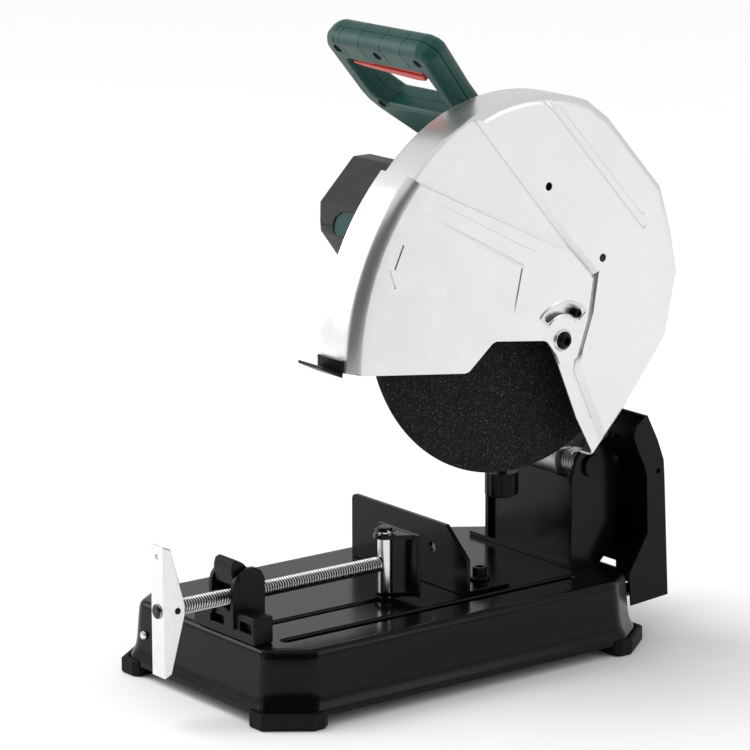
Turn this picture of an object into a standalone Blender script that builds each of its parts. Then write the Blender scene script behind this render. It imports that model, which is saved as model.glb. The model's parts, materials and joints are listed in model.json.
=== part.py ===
"""Abrasive cut-off (chop) saw for 355 mm wheels, built in metres with +Z up.

The operator stands at -Y, the head swings about an X axis at +Y, and the wheel is on the +X side.
Lengths below are in millimetres and are multiplied by MM when a mesh is made.
"""

import math

import bmesh
import bpy
from mathutils import Matrix, Vector

MM = 0.001
GAP = 0.3
GROUND_Z = 5.5
CENTRE_SHIFT = (0.0, 9.8, -GROUND_Z)

# Driving dimensions
WHEEL_RADIUS = 177.5
WHEEL_THICKNESS = 3.0
WHEEL_X = 93.4
SPINDLE = (85.6, 383.8)
SPINDLE_RADIUS = 12.4
GEAR_MODULE = 2.15
GEAR_TEETH = 42
PINION_TEETH = 10
GEAR_DISTANCE = GEAR_MODULE * (GEAR_TEETH + PINION_TEETH) / 2
MOTOR = (83.4, SPINDLE[1] + math.sqrt(GEAR_DISTANCE**2 - 2.2**2))
CAP_END_X = -66.4
CORE_BORE = 41.0

PIVOT = (210.0, 187.0)
HUB_RADIUS = 18.5
STOP = (238.0, 209.0)
SHAFT_RADIUS = 8.0

BASE_HALF_X = 145.0
BASE_HALF_Y = 237.0
BASE_LOW_Z = 17.0
BASE_TOP_Z = 81.5
BASE_SHEET = 2.5
BASE_CHAMFER = (28.5, 39.0)
SLOT_X = WHEEL_X

VISE_X = 42.4
VISE_Z = 119.5
JAW_PIN_Y = -32.8
FENCE_Y = 36.4
FENCE_PIVOT = (58.0, 76.0)
FENCE_CLAMP_X = -64.0

GUARD_PIVOT = (120.5, 341.6)
GUARD_FAR_X = 81.1
GUARD_SHEET = 1.8
MOVING_RADIUS = 262.5
MOVING_NEAR_X = 131.6
FIXED_CENTRE = (88.0, 388.0)
FIXED_RADIUS = 201.0
FIXED_NEAR_X = 129.5
FRONT_ZONE_X = 125.0
SLOT_RADIUS = 31.0

HANDLE_ORIGIN = (0.0, -8.9, 621.5)
HANDLE_TILT = math.radians(49.8)
HANDLE_DEPTH = 31.0
HANDLE_HALF = 86.0

# Colour, roughness and metallic of each finish
LOOKS = {
    "gloss_black": ((0.012, 0.012, 0.013), 0.22, 0.0),
    "satin_black": ((0.018, 0.018, 0.019), 0.42, 0.0),
    "rubber": ((0.02, 0.02, 0.02), 0.85, 0.0),
    "guard_white": ((0.86, 0.87, 0.88), 0.32, 0.7),
    "zinc": ((0.72, 0.72, 0.73), 0.28, 1.0),
    "zinc_white": ((0.80, 0.80, 0.80), 0.35, 0.6),
    "steel": ((0.55, 0.55, 0.56), 0.35, 1.0),
    "alloy": ((0.50, 0.51, 0.52), 0.45, 1.0),
    "green": ((0.010, 0.060, 0.050), 0.45, 0.0),
    "grey_plastic": ((0.045, 0.047, 0.050), 0.5, 0.0),
    "red": ((0.42, 0.035, 0.025), 0.4, 0.0),
    "abrasive": ((0.022, 0.022, 0.024), 0.9, 0.0),
    "copper": ((0.55, 0.25, 0.12), 0.4, 1.0),
    "black_plastic": ((0.02, 0.02, 0.022), 0.55, 0.0),
}

PLANE_OF = {"x": (1, 2, 0), "y": (0, 2, 1), "z": (0, 1, 2)}


def clear_scene():
    for obj in list(bpy.data.objects):
        bpy.data.objects.remove(obj, do_unlink=True)


def look_material(name):
    material = bpy.data.materials.get(name)
    if material is None:
        colour, roughness, metallic = LOOKS[name]
        material = bpy.data.materials.new(name)
        material.use_nodes = True
        shader = material.node_tree.nodes["Principled BSDF"]
        shader.inputs["Base Color"].default_value = (*colour, 1.0)
        shader.inputs["Roughness"].default_value = roughness
        shader.inputs["Metallic"].default_value = metallic
    return material


def at(axis, a, b, along):
    point = [0.0, 0.0, 0.0]
    first, second, third = PLANE_OF[axis]
    point[first], point[second], point[third] = a, b, along
    return point


def stack(rings):
    """A closed body through rings of equal point count, with a cap on the first and the last."""
    bm = bmesh.new()
    loops = [[bm.verts.new(point) for point in ring] for ring in rings]
    count = len(loops[0])
    for low, high in zip(loops, loops[1:]):
        for i in range(count):
            j = (i + 1) % count
            bm.faces.new((low[i], low[j], high[j], high[i]))
    bm.faces.new(list(reversed(loops[0])))
    bm.faces.new(loops[-1])
    bmesh.ops.recalc_face_normals(bm, faces=bm.faces)
    return bm


def prism(points, axis, low, high):
    return stack([[at(axis, a, b, along) for a, b in points] for along in (low, high)])


def box(x, y, z):
    return prism([(x[0], y[0]), (x[1], y[0]), (x[1], y[1]), (x[0], y[1])], "z", z[0], z[1])


def arc(centre, radius, start, end, steps):
    """Points on a circle, with angles in degrees from the first axis of the plane."""
    points = []
    for i in range(steps + 1):
        angle = math.radians(start + (end - start) * i / steps)
        points.append((centre[0] + radius * math.cos(angle), centre[1] + radius * math.sin(angle)))
    return points


def circle(centre, radius, steps):
    return arc(centre, radius, 0, 360 * (steps - 1) / steps, steps - 1)


def lathe(profile, axis, centre, steps=24, ring=False):
    """Turns (along, radius) points round an axis; ring joins the last point to the first."""
    bm = bmesh.new()
    loops = []
    for along, radius in profile:
        if radius < 1e-6:
            loops.append([bm.verts.new(at(axis, centre[0], centre[1], along))])
        else:
            loops.append([bm.verts.new(at(axis, a, b, along)) for a, b in circle(centre, radius, steps)])
    pairs = list(zip(loops, loops[1:]))
    if ring:
        pairs.append((loops[-1], loops[0]))
    for low, high in pairs:
        for i in range(steps):
            j = (i + 1) % steps
            face = [low[i % len(low)], low[j % len(low)], high[j % len(high)], high[i % len(high)]]
            kept = [v for k, v in enumerate(face) if v not in face[:k]]
            if len(kept) > 2:
                bm.faces.new(kept)
    bmesh.ops.recalc_face_normals(bm, faces=bm.faces)
    return bm


def rod(axis, centre, radius, low, high, steps=20):
    return lathe([(low, 0), (low, radius), (high, radius), (high, 0)], axis, centre, steps)


def tube(axis, centre, inner, outer, low, high, steps=24):
    return lathe([(low, inner), (low, outer), (high, outer), (high, inner)], axis, centre, steps, ring=True)


def hexagon(axis, centre, radius, low, high):
    return prism(circle(centre, radius, 6), axis, low, high)


def soften(bm, width, steps=1, least=30.0, where=None):
    """Bevels the edges that turn by more than the least angle."""
    edges = [e for e in bm.edges if e.calc_face_angle(0.0) > math.radians(least)]
    if where is not None:
        edges = [e for e in edges if where(e)]
    bmesh.ops.bevel(bm, geom=edges, offset=width, segments=steps, affect="EDGES", profile=0.5)
    return bm


def object_of(bm, name):
    mesh = bpy.data.meshes.new(name)
    bmesh.ops.scale(bm, vec=(MM, MM, MM), verts=bm.verts)
    bm.to_mesh(mesh)
    bm.free()
    obj = bpy.data.objects.new(name, mesh)
    bpy.context.scene.collection.objects.link(obj)
    return obj


def combine(obj, bm, operation):
    other = object_of(bm, obj.name + "_tool")
    modifier = obj.modifiers.new("boolean", "BOOLEAN")
    modifier.operation = operation
    modifier.solver = "EXACT"
    modifier.object = other
    bpy.context.view_layer.update()
    graph = bpy.context.evaluated_depsgraph_get()
    mesh = bpy.data.meshes.new_from_object(obj.evaluated_get(graph))
    obj.modifiers.clear()
    obj.data = mesh
    bpy.data.objects.remove(other, do_unlink=True)


def carved(bm, cut):
    """The shape with others cut from it, still in millimetres and without a name of its own."""
    obj = object_of(bm, "blank")
    for other in cut:
        combine(obj, other, "DIFFERENCE")
    left = bmesh.new()
    left.from_mesh(obj.data)
    bmesh.ops.scale(left, vec=(1 / MM, 1 / MM, 1 / MM), verts=left.verts)
    bpy.data.objects.remove(obj, do_unlink=True)
    return left


def make(name, look, bm, add=(), cut=(), origin=None, smooth=35.0):
    """One named sub-part: its first shape, then unions, then cuts, then the origin moved to a joint axis."""
    obj = object_of(bm, name)
    for other in add:
        combine(obj, other, "UNION")
    for other in cut:
        combine(obj, other, "DIFFERENCE")
    mesh = obj.data
    mesh.materials.clear()
    mesh.materials.append(look_material(look))
    shift = Vector(CENTRE_SHIFT) * MM
    pivot = shift + Vector(origin) * MM if origin else Vector((0.0, 0.0, 0.0))
    mesh.transform(Matrix.Translation(shift - pivot))
    obj.location = pivot
    for polygon in mesh.polygons:
        polygon.use_smooth = True
    mesh.set_sharp_from_angle(angle=math.radians(smooth))
    return obj


def inset(points, distance):
    """Moves each side of an anticlockwise convex outline inwards."""
    moved = []
    count = len(points)
    for i in range(count):
        before, here, after = points[i - 1], points[i], points[(i + 1) % count]
        d1 = Vector((here[0] - before[0], here[1] - before[1])).normalized()
        d2 = Vector((after[0] - here[0], after[1] - here[1])).normalized()
        n1, n2 = Vector((-d1.y, d1.x)), Vector((-d2.y, d2.x))
        bisector = n1 + n2
        step = bisector * (2 * distance / bisector.length_squared)
        moved.append((here[0] + step.x, here[1] + step.y))
    return moved


# Base


def base_outline(half_x, half_y):
    """Rectangle with cut corners, anticlockwise."""
    cut_x = BASE_CHAMFER[0] * half_x / BASE_HALF_X
    cut_y = BASE_CHAMFER[1] * half_y / BASE_HALF_Y
    corners = []
    for sx, sy, turned in ((1, -1, False), (1, 1, True), (-1, 1, False), (-1, -1, True)):
        side = [(sx * (half_x - cut_x), sy * half_y), (sx * half_x, sy * (half_y - cut_y))]
        corners += reversed(side) if turned else side
    rounded = []
    for i, here in enumerate(corners):
        before, after = corners[i - 1], corners[(i + 1) % len(corners)]
        for other in (before, after):
            away = Vector((other[0] - here[0], other[1] - here[1])).normalized() * 5.0
            rounded.append((here[0] + away.x, here[1] + away.y))
    return rounded


def base_ring(half_x, half_y, z):
    return [(x, y, z) for x, y in base_outline(half_x, half_y)]


def slotted(centre_x, half_width, y_low, y_high, z_low, z_high, steps=6):
    """A round-ended bar lying along Y."""
    points = arc((centre_x, y_high - half_width), half_width, 0, 180, steps)
    points += arc((centre_x, y_low + half_width), half_width, 180, 360, steps)
    return prism(points, "z", z_low, z_high)


def arc_slot(centre, radius, half_width, start, end, axis, low, high, steps=10):
    span = end - start
    outer = arc(centre, radius + half_width, start, end, steps)
    inner = arc(centre, radius - half_width, end, start, steps)
    far = arc(centre, radius, start, start + span, 1)
    tip_end = arc(far[1], half_width, end, end + 180, 4)[1:-1]
    tip_start = arc(far[0], half_width, start + 180, start + 360, 4)[1:-1]
    return prism(outer + tip_end + inner + tip_start, axis, low, high)


def build_base():
    hx, hy, sheet = BASE_HALF_X, BASE_HALF_Y, BASE_SHEET
    skin = [
        (0.0, BASE_LOW_Z),
        (0.2, 21.0),
        (2.6, 27.0),
        (5.2, 36.0),
        (6.6, 50.0),
        (8.2, BASE_TOP_Z - 9.0),
        (10.0, BASE_TOP_Z - 3.2),
        (13.0, BASE_TOP_Z - 0.7),
        (17.0, BASE_TOP_Z),
    ]
    inner = [
        base_ring(hx - d - sheet, hy - d - sheet, max(z - sheet, BASE_LOW_Z)) for d, z in reversed(skin[1:])
    ]
    inner.append(base_ring(hx - sheet, hy - sheet, BASE_LOW_Z))
    outer = [base_ring(hx - d, hy - d, z) for d, z in skin]
    inner[-2] = base_ring(hx - 0.2 - sheet, hy - 0.2 - sheet, 20.0)
    floor = BASE_TOP_Z - 9.0
    under = BASE_TOP_Z - 1.0
    clamp_radius = FENCE_PIVOT[0] - FENCE_CLAMP_X
    make(
        "base_tray",
        "gloss_black",
        stack(inner + outer),
        add=[
            slotted(SLOT_X, 8.0, -200.0, 172.0, floor - sheet, under),
            slotted(38.0, 7.0, -178.0, 6.0, BASE_TOP_Z - 6.0, under),
        ],
        cut=[
            slotted(SLOT_X, 5.0, -197.0, 169.0, floor, BASE_TOP_Z + 2),
            slotted(38.0, 4.5, -175.5, 3.5, BASE_TOP_Z - 3.5, BASE_TOP_Z + 2),
            arc_slot(FENCE_PIVOT, clamp_radius, 4.6, 148.0, 181.0, "z", 60.0, 90.0),
            rod("z", FENCE_PIVOT, 4.5, 60.0, 90.0, 12),
            rod("y", (88.0, 52.0), 2.7, 215.0, 245.0, 12),
            rod("y", (-38.0, 52.0), 2.7, 215.0, 245.0, 12),
        ],
    )
    for sx in (-1, 1):
        for sy in (-1, 1):
            name = "foot_" + ("front_" if sy < 0 else "rear_") + ("near" if sx > 0 else "far")
            build_foot(name, sx, sy)


def build_foot(name, sx, sy):
    hx, hy = BASE_HALF_X, BASE_HALF_Y
    cut_x, cut_y = BASE_CHAMFER
    out, reach, wide = 5.0, 22.0, 30.0
    points = [
        (hx - cut_x - reach, hy + 1.0),
        (hx - cut_x - reach + 6.0, hy + out),
        (hx - cut_x + 3.0, hy + out),
        (hx + out, hy - cut_y + 3.0),
        (hx + out, hy - cut_y - reach + 12.0),
        (hx + 1.0, hy - cut_y - reach + 6.0),
        (hx - wide, hy - cut_y - reach + 6.0),
        (hx - cut_x - reach, hy - wide),
    ]
    points = [(sx * x, sy * y) for x, y in points]
    low, high = GROUND_Z, 22.5
    pad = prism(points, "z", low, high)
    soften(pad, 1.8, 1, 40.0, lambda e: e.verts[0].co.z == e.verts[1].co.z)
    seat = stack([base_ring(hx + GAP, hy + GAP, z) for z in (BASE_LOW_Z - GAP, 40.0)])
    make(name, "rubber", pad, cut=[seat])


def build_stand():
    web_y = (188.7, 192.7)
    cheek = [
        (183.5, BASE_TOP_Z + GAP),
        (221.0, BASE_TOP_Z + GAP),
        (240.0, 100.0),
        (245.0, 150.0),
        (247.0, 208.0),
        (243.0, 216.0),
        (233.0, 218.0),
        (214.0, 206.0),
        (198.0, 206.0),
        (190.0, 198.0),
        (183.5, 178.0),
    ]
    flange = box((-92.0, 74.2), (183.5, 218.0), (BASE_TOP_Z + GAP, 86.5))
    make(
        "stand",
        "gloss_black",
        flange,
        add=[
            prism(cheek, "x", 69.4, 74.2),
            prism(cheek, "x", -66.0, -61.2),
            box((-64.0, 72.0), web_y, (BASE_TOP_Z + 2, 175.0)),
            rod("x", STOP, 6.0, -64.0, 72.0, 12),
            rod("x", STOP, 8.0, 73.0, 77.5, 12),
        ],
        cut=[rod("x", PIVOT, SHAFT_RADIUS + GAP, -80.0, 90.0, 20)],
    )


def build_spark_guard():
    near_x, far_x, sheet = 108.0, -76.0, 2.0
    outline = [
        (236.4, 41.0),
        (286.5, 44.5),
        (279.5, 172.0),
        (278.0, 190.0),
        (269.5, 212.0),
        (255.0, 240.0),
        (240.0, 228.5),
        (237.0, 220.0),
        (242.5, 205.5),
        (251.0, 189.5),
        (255.3, 176.0),
        (257.5, 115.0),
        (248.5, 100.0),
        (233.0, 75.5),
    ]
    inner = [
        (200.0, 20.0),
        (284.4, 20.0),
        (277.4, 171.8),
        (276.0, 189.4),
        (267.6, 211.1),
        (252.0, 241.5),
        (200.0, 260.0),
    ]
    shell = prism(outline, "x", far_x, near_x)
    hollow = prism(inner, "x", far_x + sheet, near_x - sheet)
    front = BASE_HALF_Y - 3.0
    make(
        "spark_guard",
        "gloss_black",
        carved(shell, [hollow]),
        add=[rod("y", (x, 52.0), 7.0, front, 285.5, 12) for x in (88.0, -38.0)],
        cut=[
            box((0.0, 30.0), (270.0, 300.0), (56.0, 64.0)),
            rod("x", (270.8, 179.0), 3.0, near_x - 10.0, near_x + 5.0, 12),
            rod("y", (88.0, 52.0), 2.7, 215.0, 300.0, 12),
            rod("y", (-38.0, 52.0), 2.7, 215.0, 300.0, 12),
        ],
    )
    for name, x in (("spark_screw_near", 88.0), ("spark_screw_far", -38.0)):
        make(
            name,
            "zinc",
            lathe(
                [
                    (290.4, 0), (290.4, 4.0), (288.0, 5.5), (287.0, 5.5), (287.0, 2.4),
                    (220.0, 2.4), (220.0, 0),
                ],
                "y",
                (x, 52.0),
                12,
            ),
        )


# Vise and fence


def build_fence():
    top = 149.0
    low = BASE_TOP_Z + GAP
    foot_top = low + 5.0
    plate = [
        (-104.0, low), (86.0, low), (86.0, 119.0), (52.0, top), (-99.0, top), (-102.6, top - 1.6),
        (-104.0, top - 5.0),
    ]
    make(
        "fence",
        "gloss_black",
        prism(plate, "y", FENCE_Y, FENCE_Y + 5.0),
        add=[box((-104.0, 86.0), (FENCE_Y + 1.0, 92.0), (low, foot_top))],
        cut=[
            rod("y", (30.0, 121.0), 5.2, 20.0, 60.0, 16),
            rod("z", FENCE_PIVOT, 4.5, 70.0, 95.0, 12),
            rod("z", (FENCE_CLAMP_X, FENCE_PIVOT[1]), 4.5, 70.0, 95.0, 12),
        ],
        origin=(*FENCE_PIVOT, BASE_TOP_Z),
    )
    head = foot_top + GAP
    bolt = [
        (68.0, 0), (68.0, 4.0), (head, 4.0), (head, 10.5), (head + 2.0, 10.5), (head + 3.2, 8.5),
        (head + 3.2, 0),
    ]
    for name, x in (("fence_pivot_bolt", FENCE_PIVOT[0]), ("fence_clamp_bolt", FENCE_CLAMP_X)):
        centre = (x, FENCE_PIVOT[1])
        make(
            name,
            "satin_black",
            lathe(bolt, "z", centre, 16),
            add=[hexagon("z", centre, 7.6, head + 1.0, head + 13.0)],
            cut=[rod("z", centre, 4.2, head + 9.5, head + 14.0, 12)],
        )


def build_vise():
    foot_low = BASE_TOP_Z + GAP
    cheek = [(-233.0, 92.0), (-233.0, 132.0), (-231.0, 140.0), (-225.0, 147.0), (-217.0, 150.5)]
    cheek += [(-207.0, 150.5), (-199.0, 146.0), (-195.0, 137.0), (-195.0, 92.0)]
    pin = (-224.0, 141.0)
    make(
        "vise_bracket",
        "satin_black",
        soften(box((-8.6, 93.0), (-230.0, -207.0), (foot_low, 109.0)), 1.5, 1),
        add=[
            prism(cheek, "x", 58.0, 62.5),
            prism(cheek, "x", 22.3, 26.8),
            box((24.0, 60.5), (-226.0, -198.0), (92.0, VISE_Z - 10.5)),
        ],
        cut=[
            box((24.0, 43.0), (-235.0, -224.0), (92.0, 101.0)),
            box((69.0, 88.5), (-235.0, -224.0), (92.5, 102.5)),
            rod("x", pin, 3.3, 10.0, 70.0, 12),
            rod("y", (VISE_X, VISE_Z), 8.8, -240.0, -190.0, 20),
            box((10.0, 80.0), (-206.9, -190.0), (70.0, 98.0)),
        ],
    )
    make("release_pin", "zinc", rod("x", pin, 3.0, 21.0, 64.0, 12))
    half = 15.0
    lever = [
        (-219.0, 121.0), (-219.0, 131.0), (-229.0, 134.0), (-231.0, 150.0), (-229.0, 157.0), (-224.0, 159.0)
    ]
    lever += [(-217.0, 155.0), (-212.0, 150.0), (-206.0, 147.0), (-200.5, 138.0), (-200.5, 121.0)]
    make(
        "release_lever",
        "satin_black",
        prism(lever, "x", VISE_X - half, VISE_X + half),
        cut=[
            rod("x", pin, 3.3, 10.0, 70.0, 12),
            rod("y", (VISE_X, VISE_Z), 8.6, -245.0, -190.0, 20),
        ],
        origin=(VISE_X, *pin),
    )
    screw = [
        (-310.0, 0),
        (-310.0, 5.5),
        (-308.5, 7.5),
        (-307.3, 7.5),
        (-307.3, 5.0),
        (-304.0, 5.0),
        (-304.0, 8.0),
        (-42.0, 8.0),
        (-40.6, 6.6),
        (-40.6, 4.6),
        (-29.0, 4.6),
        (-29.0, 0),
    ]
    cross_y = -291.0
    make(
        "vise_screw",
        "zinc",
        lathe(screw, "y", (VISE_X, VISE_Z), 24),
        cut=[rod("x", (cross_y, VISE_Z), 3.3, 20.0, 70.0, 12)],
        origin=(VISE_X, JAW_PIN_Y, VISE_Z),
    )
    web, high, half_wide, sheet = -307.0, 66.0, 11.0, 2.4
    side = [
        (web, VISE_Z - high),
        (web + 9.0, VISE_Z - high + 4.0),
        (web + 25.0, VISE_Z - 5.0),
        (web + 25.0, VISE_Z + 5.0),
        (web + 9.0, VISE_Z + high - 4.0),
        (web, VISE_Z + high),
    ]
    outer = prism(side, "x", VISE_X - half_wide, VISE_X + half_wide)
    make(
        "crank_handle",
        "zinc_white",
        soften(outer, 1.2, 1, 60.0),
        cut=[
            box(
                (VISE_X - half_wide + sheet, VISE_X + half_wide - sheet),
                (web + sheet, web + 40.0),
                (VISE_Z - high - 9.0, VISE_Z + high + 9.0),
            ),
            rod("x", (cross_y, VISE_Z), 3.3, 20.0, 70.0, 12),
            rod("y", (VISE_X, VISE_Z), 5.3, web - 5.0, web + 5.0, 16),
            rod("y", (VISE_X, VISE_Z + high - 12.0), 2.7, web - 5.0, web + 5.0, 12),
        ],
        origin=(VISE_X, web, VISE_Z),
    )
    pin_half = half_wide + 1.2
    make("crank_pin", "zinc", rod("x", (cross_y, VISE_Z), 3.0, VISE_X - pin_half, VISE_X + pin_half, 12))
    build_jaw()


def build_jaw():
    pin = (VISE_X, JAW_PIN_Y)
    face_y = -11.0
    sheet = 5.0
    left, right = VISE_X - 35.5, VISE_X + 30.5
    wedge = arc(pin, 11.5, 190, 350, 8)
    wedge += [(right - 6.0, face_y - sheet + 1.0), (left + 6.0, face_y - sheet + 1.0)]
    low, high = 86.5, 151.0
    make(
        "jaw",
        "gloss_black",
        soften(box((left, right), (face_y - sheet, face_y), (low, high)), 1.0, 1),
        add=[prism(wedge, "z", low + 0.5, low + 5.0), prism(wedge, "z", high - 5.0, high - 0.5)],
        cut=[rod("z", pin, 7.8, 70.0, 160.0, 24)],
        origin=(*pin, VISE_Z),
    )
    make(
        "jaw_pin",
        "zinc",
        lathe(
            [
                (83.5, 0), (83.5, 6.6), (84.5, 7.5), (153.0, 7.5), (153.0, 6.0), (154.6, 6.0),
                (154.6, 7.5), (156.2, 7.5), (157.0, 6.6), (157.0, 0),
            ],
            "z",
            pin,
            24,
        ),
        cut=[rod("y", (VISE_X, VISE_Z), 5.0, JAW_PIN_Y - 20.0, JAW_PIN_Y + 4.5, 20)],
        origin=(*pin, VISE_Z),
    )
    ring = arc(pin, 11.0, 20, 340, 16) + arc(pin, 6.3, 340, 20, 16)
    make("jaw_clip", "satin_black", prism(ring, "z", 153.3, 154.3))


# Head


def involute_outline(teeth, centre, phase):
    """Gear outline with 25 degree flanks, low teeth and a little backlash."""
    pressure = math.radians(25.0)
    pitch = GEAR_MODULE * teeth / 2
    base = pitch * math.cos(pressure)
    tip = pitch + 0.78 * GEAR_MODULE
    root = pitch - 1.05 * GEAR_MODULE
    backlash = 0.16

    def spread(radius):
        if radius <= base:
            return 0.0
        angle = math.acos(base / radius)
        return math.tan(angle) - angle

    half = math.pi / (2 * teeth) - backlash / pitch + spread(pitch)
    flank = [max(root, base), pitch - 0.35 * GEAR_MODULE, pitch + 0.1 * GEAR_MODULE, tip]
    flank = [radius for radius in flank if radius >= base]
    points = []
    for tooth in range(teeth):
        middle = phase + 2 * math.pi * tooth / teeth
        sides = []
        for radius in flank:
            sides.append((radius, half - spread(radius)))
        ring = [(root, -sides[0][1] - 0.02)]
        ring += [(radius, -angle) for radius, angle in sides]
        ring += [(radius, angle) for radius, angle in reversed(sides)]
        ring += [(root, sides[0][1] + 0.02)]
        for radius, angle in ring:
            points.append(
                (
                    centre[0] + radius * math.cos(middle + angle),
                    centre[1] + radius * math.sin(middle + angle),
                ),
            )
    return points


def case_outline(spindle_radius, motor_radius):
    """Two circles joined by their tangents, anticlockwise from the lower one's right."""
    points = arc(SPINDLE, spindle_radius, 180, 360, 16)
    points += arc(MOTOR, motor_radius, 0, 180, 16)
    return points


def build_gear_case():
    hub = rod("x", PIVOT, HUB_RADIUS, -58.0, 37.0, 24)
    arm = [
        (224.0, 203.0),
        (231.6, 206.0),
        (231.6, 214.0),
        (205.0, 240.0),
        (172.0, 312.0),
        (128.0, 380.0),
        (60.0, 372.0),
        (66.0, 330.0),
        (112.0, 226.0),
        (116.0, 203.0),
        (124.0, 201.0),
        (196.0, 201.0),
        (204.0, 186.0),
        (222.0, 186.0),
    ]
    make(
        "gear_case",
        "alloy",
        prism(case_outline(51.5, 51.5), "x", 28.0, 71.7),
        add=[
            prism(arm, "x", -8.0, 36.5),
            hub,
            rod("z", (20.0, 135.0), 12.0, 197.0, 225.0, 16),
            prism(
                [(180.0, 240.0), (140.0, 350.0), (110.0, 350.0), (120.0, 290.0), (160.0, 225.0)],
                "x",
                20.0,
                60.0,
            ),
        ],
        cut=[
            prism(case_outline(48.3, 48.3), "x", 40.5, 75.0),
            rod("x", SPINDLE, 17.8, 29.0, 45.0, 20),
            rod("x", MOTOR, 16.3, 29.0, 45.0, 20),
            rod("x", MOTOR, 9.0, 20.0, 35.0, 16),
            rod("x", PIVOT, SHAFT_RADIUS + GAP, -70.0, 60.0, 20),
            rod("z", (20.0, 135.0), 5.3, 190.0, 218.0, 12),
            rod("y", (60.5, SPINDLE[1]), 4.4, 20.0, 50.0, 12),
        ],
        smooth=28.0,
    )
    make(
        "gear_cover",
        "alloy",
        prism(case_outline(51.5, 51.5), "x", 72.0, 78.7),
        add=[rod("x", SPINDLE, 30.0, 63.0, 74.0, 24)],
        cut=[
            rod("x", SPINDLE, 26.3, 60.0, 76.5, 24),
            rod("x", SPINDLE, 14.0, 70.0, 82.0, 20),
        ],
    )
    make("spindle_bearing_front", "steel", tube("x", SPINDLE, SPINDLE_RADIUS + 0.3, 26.0, 63.5, 76.2, 24))
    make("spindle_bearing_rear", "steel", tube("x", SPINDLE, 8.3, 17.5, 29.4, 39.6, 20))
    make("motor_bearing_front", "steel", tube("x", MOTOR, 5.3, 16.0, 29.4, 39.6, 20))
    make("motor_bearing_rear", "steel", tube("x", MOTOR, 4.3, 11.0, -144.5, -136.5, 20))


def build_spindle():
    bore = SPINDLE_RADIUS + GAP
    wheel_low = WHEEL_X - WHEEL_THICKNESS / 2
    wheel_high = WHEEL_X + WHEEL_THICKNESS / 2
    make(
        "spindle",
        "steel",
        lathe(
            [
                (30.0, 0), (30.0, 8.0), (40.2, 8.0), (40.2, SPINDLE_RADIUS),
                (101.3, SPINDLE_RADIUS), (101.3, 0),
            ],
            "x",
            SPINDLE,
            24,
        ),
        cut=[rod("x", SPINDLE, 5.3, 84.0, 103.0, 16)],
        origin=(WHEEL_X, *SPINDLE),
    )
    gear = prism(involute_outline(GEAR_TEETH, SPINDLE, math.pi / 2), "x", 43.5, 56.0)
    make(
        "spindle_gear",
        "steel",
        gear,
        cut=[rod("x", SPINDLE, bore, 40.0, 60.0, 20)],
        origin=(WHEEL_X, *SPINDLE),
    )
    make(
        "inner_flange",
        "steel",
        lathe(
            [
                (81.8, bore), (81.8, 17.0), (84.5, 20.0), (84.5, 38.0), (wheel_low - GAP, 38.0),
                (wheel_low - GAP, bore),
            ],
            "x",
            SPINDLE,
            32,
            ring=True,
        ),
        origin=(WHEEL_X, *SPINDLE),
    )
    make(
        "cutting_wheel",
        "abrasive",
        lathe(
            [
                (wheel_low, bore),
                (wheel_low, WHEEL_RADIUS),
                (wheel_high, WHEEL_RADIUS),
                (wheel_high, bore),
            ],
            "x",
            SPINDLE,
            96,
            ring=True,
        ),
        origin=(WHEEL_X, *SPINDLE),
    )
    make(
        "outer_flange",
        "steel",
        lathe(
            [
                (wheel_high + GAP, bore), (wheel_high + GAP, 38.0), (97.5, 38.0), (101.0, 20.0),
                (101.0, bore),
            ],
            "x",
            SPINDLE,
            32,
            ring=True,
        ),
        origin=(WHEEL_X, *SPINDLE),
    )
    make(
        "wheel_bolt",
        "zinc",
        lathe(
            [(86.0, 0), (86.0, 5.0), (101.6, 5.0), (101.6, 16.0), (103.2, 16.0), (104.2, 14.0), (104.2, 0)],
            "x",
            SPINDLE,
            20,
        ),
        add=[hexagon("x", SPINDLE, 9.8, 103.5, 111.0)],
        origin=(WHEEL_X, *SPINDLE),
    )


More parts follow.
